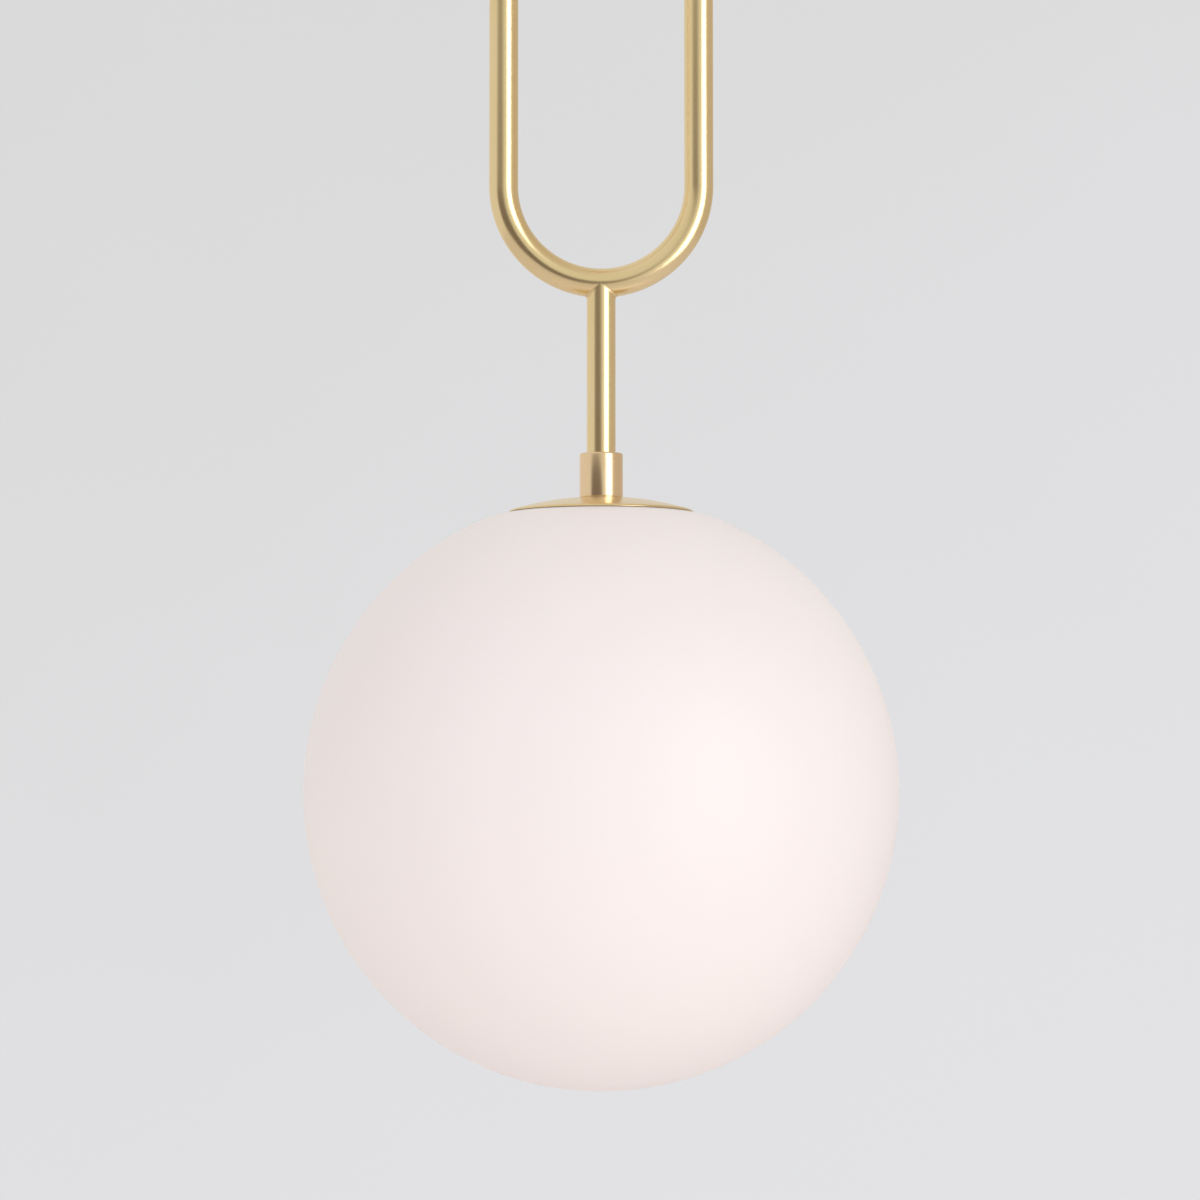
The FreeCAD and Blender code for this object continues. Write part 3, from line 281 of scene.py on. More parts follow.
class Surface(Tree):
    """A node material built round one Principled shader."""

    def __init__(self, name, colour, roughness, metallic=0.0):
        self.material = bpy.data.materials.new(name)
        self.material.use_nodes = True
        super().__init__(self.material.node_tree)
        self.shader = self.tree.nodes["Principled BSDF"]
        self.shader.inputs["Base Color"].default_value = (*colour, 1)
        self.shader.inputs["Roughness"].default_value = roughness
        self.shader.inputs["Metallic"].default_value = metallic
        self.colour = colour
        self.height = None

    def space(self, stretch, kind="Object"):
        """Coordinates in metres, stretched: the object's own, or the grain map's."""
        if kind == "Object":
            source = self.node("ShaderNodeTexCoord").outputs["Object"]
        else:
            source = self.node("ShaderNodeUVMap", uv_map="grain").outputs["UV"]
        mapping = self.node("ShaderNodeMapping")
        mapping.inputs["Scale"].default_value = stretch
        self.wire(source, mapping.inputs["Vector"])
        return mapping.outputs["Vector"]

    def noise(self, stretch, scale=1.0, detail=3.0, roughness=0.5, kind="Object"):
        """A noise texture's value over stretched coordinates."""
        made = self.node("ShaderNodeTexNoise", Scale=scale, Detail=detail, Roughness=roughness)
        self.wire(self.space(stretch, kind), made.inputs["Vector"])
        return made.outputs["Fac"]

    def spread(self, value, from_low, from_high, to_low, to_high):
        """Map one range of a value onto another."""
        made = self.node("ShaderNodeMapRange")
        for index, number in enumerate((from_low, from_high, to_low, to_high), start=1):
            made.inputs[index].default_value = number
        self.wire(value, made.inputs[0])
        return made.outputs[0]

    def tint(self, value, other, from_low=0.35, from_high=0.65):
        """Mix the colour so far towards another where a value is high."""
        mix = self.node("ShaderNodeMix", data_type="RGBA")
        self.wire(self.spread(value, from_low, from_high, 0, 1), mix.inputs[0])
        socket = self.shader.inputs["Base Color"]
        if socket.is_linked:
            self.wire(socket.links[0].from_socket, mix.inputs[6])
        else:
            mix.inputs[6].default_value = (*self.colour, 1)
        mix.inputs[7].default_value = (*other, 1)
        self.wire(mix.outputs[2], socket)

    def rough(self, value, least, most):
        """Let the roughness follow a value."""
        self.wire(self.spread(value, 0.3, 0.7, least, most), self.shader.inputs["Roughness"])

    def bump(self, value, distance, strength=1.0):
        """Raise the surface by a value, in metres, on top of any bump before."""
        made = self.node("ShaderNodeBump", Distance=distance, Strength=strength)
        self.wire(value, made.inputs["Height"])
        if self.height:
            self.wire(self.height, made.inputs["Normal"])
        self.height = made.outputs["Normal"]
        self.wire(self.height, self.shader.inputs["Normal"])


def brushed_brass(name, base, pale, dark):
    """Lacquered satin brass with a fine grain round each turned or drawn piece."""
    surface = Surface(name, base, 0.23, 1.0)
    grain = surface.noise((140, 5200, 1), detail=4, roughness=0.62, kind="grain")
    cloud = surface.noise((26, 26, 26), detail=2)
    speck = surface.noise((1500, 1500, 1500), detail=1)
    surface.tint(cloud, pale, 0.3, 0.7)
    surface.tint(grain, dark, 0.62, 0.95)
    surface.rough(grain, 0.20, 0.26)
    surface.bump(grain, 0.000004, 0.35)
    surface.bump(speck, 0.000003, 0.25)
    surface.shader.inputs["Coat Weight"].default_value = 0.15
    surface.shader.inputs["Coat Roughness"].default_value = 0.15
    return surface.material


def satin_brass():
    """The same brass on milled and brazed pieces, where the grain has no single way."""
    surface = Surface("satin_brass", (0.83, 0.64, 0.365), 0.3, 1.0)
    cloud = surface.noise((60, 60, 60), detail=2)
    speck = surface.noise((2600, 2600, 2600), detail=3)
    surface.tint(cloud, (0.74, 0.56, 0.31), 0.35, 0.7)
    surface.rough(speck, 0.25, 0.36)
    surface.bump(speck, 0.000006, 0.5)
    return surface.material


def opal_glass():
    """Acid-etched opal: soft white, faintly warm, with a very fine tooth and slow blown ripples."""
    surface = Surface("opal_glass", (0.93, 0.850, 0.850), 0.5)
    cloud = surface.noise((7, 7, 7), detail=2)
    tooth = surface.noise((4200, 4200, 4200), detail=2)
    ripple = surface.noise((16, 16, 11), detail=1)
    surface.tint(cloud, (0.935, 0.858, 0.836), 0.4, 0.66)
    surface.rough(cloud, 0.46, 0.54)
    surface.bump(ripple, 0.0003, 0.25)
    surface.bump(tooth, 0.000006, 0.35)
    surface.shader.inputs["Subsurface Weight"].default_value = 0.25
    surface.shader.inputs["Subsurface Radius"].default_value = (1.0, 0.9, 0.8)
    surface.shader.inputs["Subsurface Scale"].default_value = 0.006
    surface.shader.inputs["Specular IOR Level"].default_value = 0.4
    return surface.material


def metal(name, colour, other, roughness):
    """A plain working metal with cloudy tone and fine scratches up and down."""
    surface = Surface(name, colour, roughness, 1.0)
    cloud = surface.noise((75, 75, 75), detail=4, roughness=0.6)
    fine = surface.noise((900, 900, 54), detail=3)
    surface.tint(cloud, other, 0.4, 0.68)
    surface.rough(fine, roughness * 0.8, roughness * 1.35)
    surface.bump(fine, 0.00001, 0.4)
    return surface.material


def moulded(name, colour, other, roughness, gloss=0.5, grit=1800):
    """A moulded or fired surface with faint mottling and a fine texture."""
    surface = Surface(name, colour, roughness)
    cloud = surface.noise((45, 45, 45), detail=3)
    fine = surface.noise((grit,) * 3, detail=2)
    surface.tint(cloud, other, 0.42, 0.66)
    surface.rough(fine, roughness * 0.85, roughness * 1.2)
    surface.bump(fine, 0.00002, 0.35)
    surface.shader.inputs["Specular IOR Level"].default_value = gloss
    return surface.material


def earth_sleeve():
    """Green insulation with a yellow stripe along it."""
    surface = Surface("earth_sleeve", (0.10, 0.36, 0.08), 0.42)
    stripe = surface.noise((900, 900, 1), detail=0)
    fine = surface.noise((2000, 2000, 400), detail=2)
    surface.tint(stripe, (0.75, 0.66, 0.06), 0.49, 0.51)
    surface.bump(fine, 0.00001, 0.3)
    return surface.material


brass = brushed_brass("brushed_brass", (0.83, 0.65, 0.36), (0.85, 0.68, 0.40), (0.76, 0.585, 0.32))
rosy_brass = brushed_brass("rosy_brass", (0.85, 0.63, 0.39), (0.86, 0.66, 0.43), (0.78, 0.57, 0.35))
satin = satin_brass()
MATERIALS = {
    "brushed_brass": satin,
    "braze": satin,
    "zinc_steel": metal("zinc_steel", (0.50, 0.51, 0.50), (0.60, 0.59, 0.54), 0.36),
    "bright_steel": metal("bright_steel", (0.62, 0.62, 0.62), (0.50, 0.50, 0.51), 0.24),
    "contact_brass": metal("contact_brass", (0.66, 0.46, 0.20), (0.56, 0.37, 0.15), 0.28),
    "shell_metal": metal("shell_metal", (0.74, 0.73, 0.70), (0.62, 0.61, 0.58), 0.26),
    "block_plastic": moulded("block_plastic", (0.74, 0.73, 0.68), (0.68, 0.67, 0.61), 0.5),
    "core_ceramic": moulded("core_ceramic", (0.78, 0.76, 0.70), (0.70, 0.68, 0.62), 0.62, 0.4, 900),
    "gasket_rubber": moulded("gasket_rubber", (0.60, 0.60, 0.57), (0.52, 0.52, 0.50), 0.6),
    "opal_glass": opal_glass(),
    "bulb_frost": moulded("bulb_frost", (0.88, 0.87, 0.83), (0.84, 0.83, 0.79), 0.4, 0.5, 3200),
    "bulb_plastic": moulded("bulb_plastic", (0.82, 0.82, 0.79), (0.77, 0.77, 0.74), 0.3, 0.5),
    "bulb_black": moulded("bulb_black", (0.02, 0.02, 0.022), (0.035, 0.033, 0.03), 0.25, 0.6),
    "led_board": moulded("led_board", (0.84, 0.84, 0.80), (0.80, 0.80, 0.76), 0.45),
    "live_sleeve": moulded("live_sleeve", (0.19, 0.075, 0.03), (0.15, 0.055, 0.02), 0.4),
    "neutral_sleeve": moulded("neutral_sleeve", (0.035, 0.13, 0.42), (0.03, 0.10, 0.34), 0.4),
    "earth_sleeve": earth_sleeve(),
}


def paint(piece, material):
    """Give every face of a piece one material."""
    piece.data.materials.clear()
    piece.data.materials.append(material)
    return piece


slot_of = {row["node"]: row["material_slot"] for row in frame["record"]["subparts"]}
for node_name, node_object in nodes.items():
    for material_slot in node_object.material_slots:
        material_slot.material = MATERIALS[slot_of[node_name]]

# ---- ceiling end and swivel --------------------------------------------------------------------

EASE = 0.0004
EASE_ANGLE = 32  # degrees: flatter edges than this are left alone


def canopy():
    """The spun pan with its rolled rim against the ceiling.  The nuts hide where the stud holes are,
    so they are left out."""
    floor = low("canopy").z
    top = high("canopy").z
    radius = outer_radius("canopy")
    wall = 0.001
    rim = wall * 0.45
    corner = 0.006
    hole_share = 0.31
    hole = outer_radius("canopy_washer") * hole_share
    paint(lathe("canopy_skin", [
        (hole, floor, 0.0003), (radius, floor, corner), (radius, top, rim),
        (radius - wall, top, rim), (radius - wall, floor + wall, corner - wall),
        (hole, floor + wall, 0.0003)], "ceiling", "brushed_brass", "canopy"), brass)


def canopy_nuts():
    """Two cap nuts with a fine straight knurl between two plain lands and a domed end."""
    floor = low("canopy_nuts").z
    top = high("canopy_nuts").z
    radius = (high("canopy_nuts").x - low("canopy_nuts").x) / 2
    middle = high("canopy_nuts").y - radius
    flutes = 32
    depth = 0.00022
    step = 0.0001
    lower_land = floor + 0.00176
    upper_land = top - 0.0011
    flat_share = 0.55
    side_share = 0.97

    def knurl(angle, at, height):
        inside = lower_land < height < upper_land and at > radius * side_share
        return -depth * (1 - abs(math.cos(angle * flutes / 2))) if inside else 0

    rows = [(0, floor), (radius * flat_share, floor, 0.0012), (radius, floor + 0.0016, 0.0006)]
    rows += [(radius, lower_land), (radius, lower_land + step),
             (radius, upper_land - step), (radius, upper_land)]
    rows += [(radius, top, 0.0003), (0, top)]
    meshes = [moved(lathe_mesh("nut", rounded(rows), 256, knurl), side * middle) for side in (-1, 1)]
    paint(link("canopy_cap_nuts", joined("canopy_cap_nuts", meshes), "ceiling", "brushed_brass",
               "canopy_nuts"), brass)


def swivel_seat():
    """The turned collar under the canopy, with one fine decorative groove."""
    floor = low("swivel_seat").z
    top = high("swivel_seat").z
    radius = outer_radius("swivel_seat")
    bore_share = 0.68
    bore = outer_radius("wave_washer") * bore_share
    groove_share = 0.72
    groove = floor + (top - floor) * groove_share
    cut = 0.0004
    paint(lathe("swivel_seat_turned", [
        (bore, floor), (radius, floor, 0.0007), (radius, groove - cut, 0.00012),
        (radius - cut, groove, 0.00012), (radius, groove + cut, 0.00012), (radius, top, 0.0003),
        (bore, top)], "ceiling", "brushed_brass", "swivel_seat"), brass)


def eased(node):
    """Ease a CAD node's edges with a narrow bevel, where its own shape is kept."""
    bevel = nodes[node].modifiers.new("ease", "BEVEL")
    bevel.width = EASE
    bevel.segments = 2
    bevel.limit_method = "ANGLE"
    bevel.angle_limit = math.radians(EASE_ANGLE)
    bevel.use_clamp_overlap = True
    bevel.harden_normals = False


def swivel_leads():
    """The leads' flexing stretch through the swivel, drawn as straight tubes."""
    top = high("swivel_live").z
    foot = low("swivel_live").z
    steps = 24
    for kind in ("live", "neutral", "earth"):
        node = f"swivel_{kind}"
        middle = (low(node) + high(node)) / 2
        radius = outer_radius(node)
        path = [(Vector((middle.x, middle.y, foot + (top - foot) * step / steps)), Vector((1, 0, 0)),
                 Vector((0, 1, 0))) for step in range(steps + 1)]
        mesh = tube_mesh(f"{node}_flex", path, circle(radius, 20))
        piece = link(f"{node}_flex", mesh, None, f"{kind}_sleeve", node)
        paint(piece, MATERIALS[f"{kind}_sleeve"])
        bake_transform(piece)


# ---- stems and loop ----------------------------------------------------------------------------


def saddle_height(angle, radius, tube, upward):
    """How far above or below the bend's centre a point stands on a tube of the bend, over a radius
    about the stem's axis."""
    x = radius * math.cos(angle)
    y = radius * math.sin(angle)
    reach = BEND + math.sqrt(max(tube ** 2 - y ** 2, 0))
    return upward * math.sqrt(reach ** 2 - x ** 2)


def coped_stem(name, node, far, bend_height, upward):
    """A stem whose end follows the loop it sits astride.  upward is 1 above the loop, -1 below."""
    steps = 160
    verts = []
    for radius, coped in ((STEM, False), (STEM, True), (STEM_BORE, True), (STEM_BORE, False)):
        for step in range(steps):
            angle = 2 * math.pi * step / steps
            near = bend_height + saddle_height(angle, min(radius, LOOP_TUBE), LOOP_TUBE, upward)
            height = near if coped else far
            verts.append((radius * math.cos(angle), radius * math.sin(angle), height))
    faces = []
    across = []
    along = []
    span = abs(far - bend_height)
    v_of = [0, span, span, 0]
    for index in range(4):
        following = (index + 1) % 4
        for step in range(steps):
            after = (step + 1) % steps
            quad = [index * steps + step, index * steps + after, following * steps + after,
                    following * steps + step]
            faces.append(quad if upward < 0 else quad[::-1])
            us = [step, step + 1, step + 1, step]
            vs = [v_of[index], v_of[index], v_of[following], v_of[following]]
            if upward > 0:
                us, vs = us[::-1], vs[::-1]
            across += [2 * math.pi * STEM * u / steps for u in us]
            along += vs
    mesh = grained_mesh(name, verts, faces, across, along)
    mesh.set_sharp_from_angle(angle=math.radians(40))
    paint(link(name, mesh, "pendant", "brushed_brass", node), brass)


def braze_seam(bend_height, upward):
    """The concave bead that a rolling ball leaves where the stem meets the loop's tube."""
    fillet = 0.0012
    sink = 0.0006
    steps = 160
    arcs = 8
    path = []
    for step in range(steps):
        angle = 2 * math.pi * step / steps
        out = STEM + fillet
        centre = Vector((out * math.cos(angle), out * math.sin(angle),
                         bend_height + saddle_height(angle, out, LOOP_TUBE + fillet, upward)))
        on_stem = Vector((STEM * math.cos(angle), STEM * math.sin(angle), centre.z))
        from_bend = Vector((centre.x, 0, centre.z - bend_height)).normalized() * BEND
        on_line = Vector((from_bend.x, 0, bend_height + from_bend.z))
        on_loop = centre + (on_line - centre).normalized() * fillet
        first = (on_stem - centre).normalized()
        last = (on_loop - centre).normalized()
        spread = first.angle(last)
        bead = []
        for number in range(arcs + 1):
            share = number / arcs
            way = (first * math.sin((1 - share) * spread)
                   + last * math.sin(share * spread)) / math.sin(spread)
            bead.append(centre + way * fillet)
        bead.append((on_stem + on_loop) / 2 + (first + last).normalized() * sink)
        path.append(bead)
    count = arcs + 2
    verts = [point for bead in path for point in bead]
    faces = []
    for step in range(steps):
        after = (step + 1) % steps
        for number in range(count):
            following = (number + 1) % count
            quad = [step * count + number, after * count + number, after * count + following,
                    step * count + following]
            faces.append(quad if upward < 0 else quad[::-1])
    no_grain = [0] * (4 * len(faces))
    return grained_mesh("braze_bead", verts, faces, no_grain, no_grain)


def braze():
    """Both beads in one piece."""
    beads = joined("braze_beads", [braze_seam(UPPER_BEND, 1), braze_seam(LOWER_BEND, -1)])
    paint(link("braze_beads", beads, "pendant", "braze", "braze_seams"), satin)


def loop_half(name, node, bend_height, upward):
    """Half of the loop as one bent tube, its two ends meeting the other half at a fine seam."""
    bend_steps = 96
    leg_steps = 12
    frames = []
    ahead = Vector((0, 1, 0))
    for step in range(leg_steps):
        height = LOOP_JOINT + (bend_height - LOOP_JOINT) * step / leg_steps
        frames.append((Vector((BEND, 0, height)), Vector((upward, 0, 0)), ahead))
    for step in range(bend_steps + 1):
        angle = math.pi * step / bend_steps
        way = Vector((math.cos(angle), 0, upward * math.sin(angle)))
        frames.append((Vector((0, 0, bend_height)) + way * BEND, way * upward, ahead))
    for step in range(1, leg_steps + 1):
        height = bend_height + (LOOP_JOINT - bend_height) * step / leg_steps
        frames.append((Vector((-BEND, 0, height)), Vector((-upward, 0, 0)), ahead))
    mesh = tube_mesh(name, frames, circle(LOOP_TUBE, 72))
    mesh.set_sharp_from_angle(angle=math.radians(60))
    paint(link(name, mesh, "pendant", "brushed_brass", node), brass)


# ---- holder and glass --------------------------------------------------------------------------


def collar():
    """The plain barrel with softly rounded edges."""
    floor = low("collar").z
    top = high("collar").z
    radius = outer_radius("collar")
    slip = 0.00002
    bore = STEM + slip
    paint(lathe("collar_barrel", [
        (bore, floor), (radius, floor, 0.0004), (radius, top, 0.0009), (bore, top, 0.00015)], "pendant",
        "brushed_brass", "collar"), rosy_brass)


def dome_cap():
    """The shallow spun cap: a long dome, a softly rounded lip and a thin turned-in edge."""
    rim = low("dome_cap").z
    top = high("dome_cap").z
    radius = outer_radius("dome_cap")
    wall = 0.0008
    under_collar = 0.0006
    flat = outer_radius("collar") - under_collar
    dome = 0.134
    centre = top - math.sqrt(dome ** 2 - flat ** 2)
    hole = 0.005
    lip = 0.0011
    first = math.degrees(math.acos(flat / dome))
    last = math.degrees(math.acos((radius - lip) / dome))
    points = [Vector((hole, top))]
    points += arc(centre, dome, first, last, 60)
    edge = points[-1]
    drop = math.radians(90 - last)
    turn_centre = edge - Vector((math.sin(drop), math.cos(drop))) * lip
    lip_steps = 12
    for step in range(1, lip_steps + 1):
        angle = math.pi / 2 - drop - (math.pi / 2 - drop) * step / lip_steps
        points.append(turn_centre + Vector((math.cos(angle), math.sin(angle))) * lip)
    reach = points[-1].x
    points += [Vector((reach, rim + 0.0003)), Vector((reach - 0.0001, rim + 0.0001)),
               Vector((reach - 0.0003, rim)), Vector((reach - wall + 0.0002, rim)),
               Vector((reach - wall, rim + 0.0002))]
    inner_dome = dome - wall
    inner_last = math.degrees(math.acos((reach - wall) / inner_dome))
    inner_first = math.degrees(math.acos(flat / inner_dome))
    points += arc(centre, inner_dome, inner_last, inner_first, 40)
    points.append(Vector((hole, top - wall)))
    mesh = lathe_mesh("dome_cap_spun", points[::-1], 256)
    paint(link("dome_cap_spun", mesh, "pendant", "brushed_brass", "dome_cap"), brass)


def glass_globe():
    """The opal ball: round to the shoulder, then drawn in flatter to a fire-polished mouth."""
    top = high("glass_globe").z - GLOBE_Z
    wall = 0.0025
    mouth = 0.0325
    shoulder = 0.048
    early = 1.2
    leave_share = 0.22
    arrive_out = 0.6
    arrive_down = 0.093
    crown_steps = 28
    rim_steps = 12
    end = math.degrees(math.acos(shoulder / GLOBE)) - early
    outer = arc(GLOBE_Z, GLOBE, -90, end, 120)
    last = outer[-1]
    rim = Vector((mouth + wall / 2, GLOBE_Z + top))
    uphill = Vector((-math.sin(math.radians(end)), math.cos(math.radians(end))))
    span = (last - rim).length
    pull = last + uphill * span * leave_share
    arrive = rim + Vector((span * arrive_out, -span * arrive_down))
    drawn = []
    for step in range(1, crown_steps + 1):
        share = step / crown_steps
        drawn.append(last * (1 - share) ** 3 + pull * 3 * share * (1 - share) ** 2
                     + arrive * 3 * share ** 2 * (1 - share) + rim * share ** 3)
    edge = []
    for step in range(1, rim_steps):
        angle = math.pi / 2 + math.pi * step / rim_steps
        edge.append(rim + Vector((math.cos(angle), math.sin(angle) - 1)) * (wall / 2))
    outside = outer + drawn
    inside = []
    for index in range(len(outside) - 1, -1, -1):
        ahead = outside[min(index + 1, len(outside) - 1)]
        behind = outside[max(index - 1, 0)]
        way = (ahead - behind).normalized()
        inside.append(outside[index] + Vector((-way.y, way.x)) * wall)
    inside[-1].x = 0
    outside[0].x = 0
    mesh = lathe_mesh("opal_ball", outside + edge + inside, 256)
    paint(link("opal_ball", mesh, "globe", "opal_glass", "glass_globe"), MATERIALS["opal_glass"])


def leaf_springs():
    """Three bent leaves with a rolled toe, in one piece, each with a flat rectangular section."""
    top = high("globe_springs").z
    foot = low("globe_springs").z
    root = 0.0132
    knee = 0.0235
    dip = 0.0299
    tip = 0.038
    rest = top - 0.0031
    thick = 0.0006
    half = 0.004
    control = [(root, top - thick / 2), (knee * 0.75, top - thick / 2), (knee, top - thick / 2),
               (knee + 0.0022, top - 0.0016), (dip - 0.0012, foot + 0.0014), (dip, foot + thick / 2),
               (dip + 0.0014, foot + 0.0009), (tip - 0.0012, rest - 0.0006), (tip, rest - thick / 2)]
    line = bpy.data.curves.new("leaf_line", "CURVE")
    spline = line.splines.new("NURBS")
    spline.points.add(len(control) - 1)
    for point, (radius, height) in zip(spline.points, control):
        point.co = (radius, 0, height, 1)
    spline.order_u = 3
    spline.use_endpoint_u = True
    spline.resolution_u = 8
    holder = bpy.data.objects.new("leaf_line", line)
    sampled = bpy.data.meshes.new_from_object(holder)
    route = [vertex.co.copy() for vertex in sampled.vertices]
    bpy.data.objects.remove(holder)
    meshes = []
    for turn in (90, 210, 330):
        angle = math.radians(turn)
        out = Vector((math.cos(angle), math.sin(angle), 0))
        side = Vector((-math.sin(angle), math.cos(angle), 0))
        frames = []
        for index, point in enumerate(route):
            ahead = route[min(index + 1, len(route) - 1)] - route[max(index - 1, 0)]
            normal = (out * -ahead.z + Vector((0, 0, 1)) * ahead.x).normalized()
            frames.append((out * point.x + Vector((0, 0, point.z)), side, normal))
        outline = [(-half, -thick / 2), (half, -thick / 2), (half, thick / 2), (-half, thick / 2)]
        meshes.append(tube_mesh("leaf", frames, outline))
    mesh = joined("leaf_springs", meshes)
    mesh.set_sharp_from_angle(angle=math.radians(40))
    paint(link("leaf_springs", mesh, "pendant", "bright_steel", "globe_springs"), MATERIALS["bright_steel"])


# ---- bulb --------------------------------------------------------------------------------------


def thread(depth, pitch, floor, top):
    """A rolled thread: how far the wall swells in and out along a helix, fading at both ends."""
    def swell(angle, radius, height):
        fade = min(max((height - floor) / pitch, 0), max((top - height) / pitch, 0), 1)
        return depth * fade * (math.sin(2 * math.pi * height / pitch - angle) - 1) / 2
    return swell


def threaded_rows(radius, start, end, count):
    """Evenly spaced points up a wall, for a thread to shape."""
    return [(radius, start + (end - start) * step / count) for step in range(count + 1)]


def bulb_cap():
    """The bulb's screw cap with its rolled thread."""
    floor = low("bulb_cap").z
    top = high("bulb_cap").z
    radius = outer_radius("bulb_cap")
    wall = 0.0008
    depth = 0.0011
    seat = 0.0072
    shoulder = top - 0.0032
    rows = threaded_rows(radius, floor, shoulder, 96)
    rows += [(radius - 0.0006, top - 0.0012, 0.0005), (seat, top, 0.0003), (seat, top - wall)]
    rows += [(radius - 0.0024, top - 0.002)]
    rows += threaded_rows(radius - wall, shoulder, floor, 96)
    mesh = lathe_mesh("bulb_screw_cap", rounded(rows), 128,
                      thread(depth, THREAD_PITCH, floor, shoulder))
    paint(link("bulb_screw_cap", mesh, "bulb", "shell_metal", "bulb_cap"), MATERIALS["shell_metal"])


def screw_shell():
    """The lampholder's threaded shell, clear of the bulb's cap all the way."""
    floor = low("screw_shell").z
    top = high("screw_shell").z
    radius = outer_radius("screw_shell")
    wall = 0.0004
    ripple = 0.00012
    rows = threaded_rows(radius, floor, top, 96) + threaded_rows(radius - wall, top, floor, 96)

    def swell(angle, at, height):
        return ripple * math.sin(2 * math.pi * height / THREAD_PITCH - angle) - ripple

    mesh = lathe_mesh("lampholder_shell", rows, 128, swell)
    paint(link("lampholder_shell", mesh, "pendant", "shell_metal", "screw_shell"),
          MATERIALS["shell_metal"])


def bulb_envelope():
    """The plastic body that flares from the cap, and the frosted dome that closes it."""
    spigot_height = 0.006
    lead_in = 0.003
    neck = high("bulb_body").z - spigot_height
    seam = low("bulb_body").z
    wide = outer_radius("bulb_dome")
    slim = outer_radius("bulb_cap") + 0.0002
    wall = 0.0016
    spigot = outer_radius("bulb_cap") - 0.0009
    flare = []
    steps = 40
    for step in range(steps + 1):
        share = step / steps
        ease = share * share * (3 - 2 * share)
        flare.append(Vector((slim + (wide - slim) * (0.35 * share + 0.65 * ease),
                             neck - lead_in + (seam - neck + lead_in) * share)))
    head = neck + spigot_height
    outline = [Vector((spigot, head)), Vector((spigot, neck)), Vector((slim, neck))] + flare
    outline += [Vector((point.x - wall, point.y)) for point in reversed(flare[4:])]
    outline += [Vector((spigot - wall, neck)), Vector((spigot - wall, head))]
    mesh = lathe_mesh("bulb_housing", outline, 128)
    mesh.set_sharp_from_angle(angle=math.radians(50))
    paint(link("bulb_housing", mesh, "bulb", "bulb_plastic", "bulb_body"), MATERIALS["bulb_plastic"])
    floor = low("bulb_dome").z
    top = high("bulb_dome").z
    centre = floor + wide
    shell = 0.0012
    dome = arc(centre, wide, -90, 0, 48) + [Vector((wide, top - 0.0002)), Vector((wide - 0.0002, top))]
    dome += [Vector((wide - shell, top))] + arc(centre, wide - shell, 0, -90, 48)
    dome[0].x = 0
    dome[-1].x = 0
    mesh = lathe_mesh("bulb_diffuser", dome, 160)
    paint(link("bulb_diffuser", mesh, "bulb", "bulb_frost", "bulb_dome"), MATERIALS["bulb_frost"])


def lampholder():
    """The holder's cap and sleeve with eased edges and a rolled joint between them."""
    top = high("holder_cap").z
    joint = high("holder_sleeve").z
    floor = low("holder_sleeve").z
    radius = outer_radius("holder_cap")
    wall = 0.0012
    mouth = outer_radius("screw_shell") + 0.0007
    bore = 0.0049
    paint(lathe("lampholder_cap", [
        (bore, top - 0.002), (radius - wall, top - 0.002, 0.0008), (radius - wall, joint),
        (radius, joint, 0.0005), (radius, top - 0.003, 0.001), (radius - 0.003, top, 0.001), (bore, top)],
        "pendant", "zinc_steel", "holder_cap", steps=128), MATERIALS["zinc_steel"])
    rows = [(mouth, floor, 0.0003), (radius, floor, 0.0006)]
    first_ring = 0.25
    ring_gap = 0.12
    half_width = 0.0005
    depth = 0.0004
    for ring_number in range(5):
        height = floor + (joint - floor) * (first_ring + ring_gap * ring_number)
        rows += [(radius, height - half_width, 0.0002), (radius - depth, height, 0.0002),
                 (radius, height + half_width, 0.0002)]
    rows += [(radius, joint, 0.0005), (radius - wall, joint), (radius - wall, floor + wall),
             (mouth, floor + wall, 0.0003)]
    paint(lathe("lampholder_sleeve", rows, "pendant", "zinc_steel", "holder_sleeve", steps=128),
          MATERIALS["zinc_steel"])


canopy()
canopy_nuts()
swivel_seat()
eased("swivel_fork")
eased("swivel_tongue")
swivel_leads()
coped_stem("upper_stem_drawn", "upper_stem", high("upper_stem").z, UPPER_BEND, 1)
coped_stem("lower_stem_drawn", "lower_stem", low("lower_stem").z, LOWER_BEND, -1)
loop_half("loop_upper_bent", "loop_upper", UPPER_BEND, 1)
loop_half("loop_lower_bent", "loop_lower", LOWER_BEND, -1)
braze()
collar()
dome_cap()
glass_globe()
leaf_springs()
bulb_cap()
screw_shell()
bulb_envelope()
lampholder()

# ---- studio ------------------------------------------------------------------------------------

# The tones are what each kind of ray sees: PALE ones the camera, WALL to DARK the polished metal.
PALE_HIGH = (0.700, 0.700, 0.703)
PALE_LOW = (0.765, 0.765, 0.785)
WALL_TONE = (0.81, 0.79, 0.74)
RIGHT_TONE = (0.60, 0.54, 0.46)
FRONT_TONE = (0.76, 0.76, 0.68)
DARK_TONE = (0.18, 0.15, 0.135)
LIGHT_TONE = (1.0, 0.985, 0.975)
LIGHT_STRENGTH = 0.80
PATCH_CENTRE = (-0.42, 0, -0.08)
PATCH_WIDTH = 0.58
PATCH_HEIGHT = 0.32
BACKDROP_SLOPE = -0.55
BACKDROP_MOTTLE = 0.09
AIM_RISE = 0.2


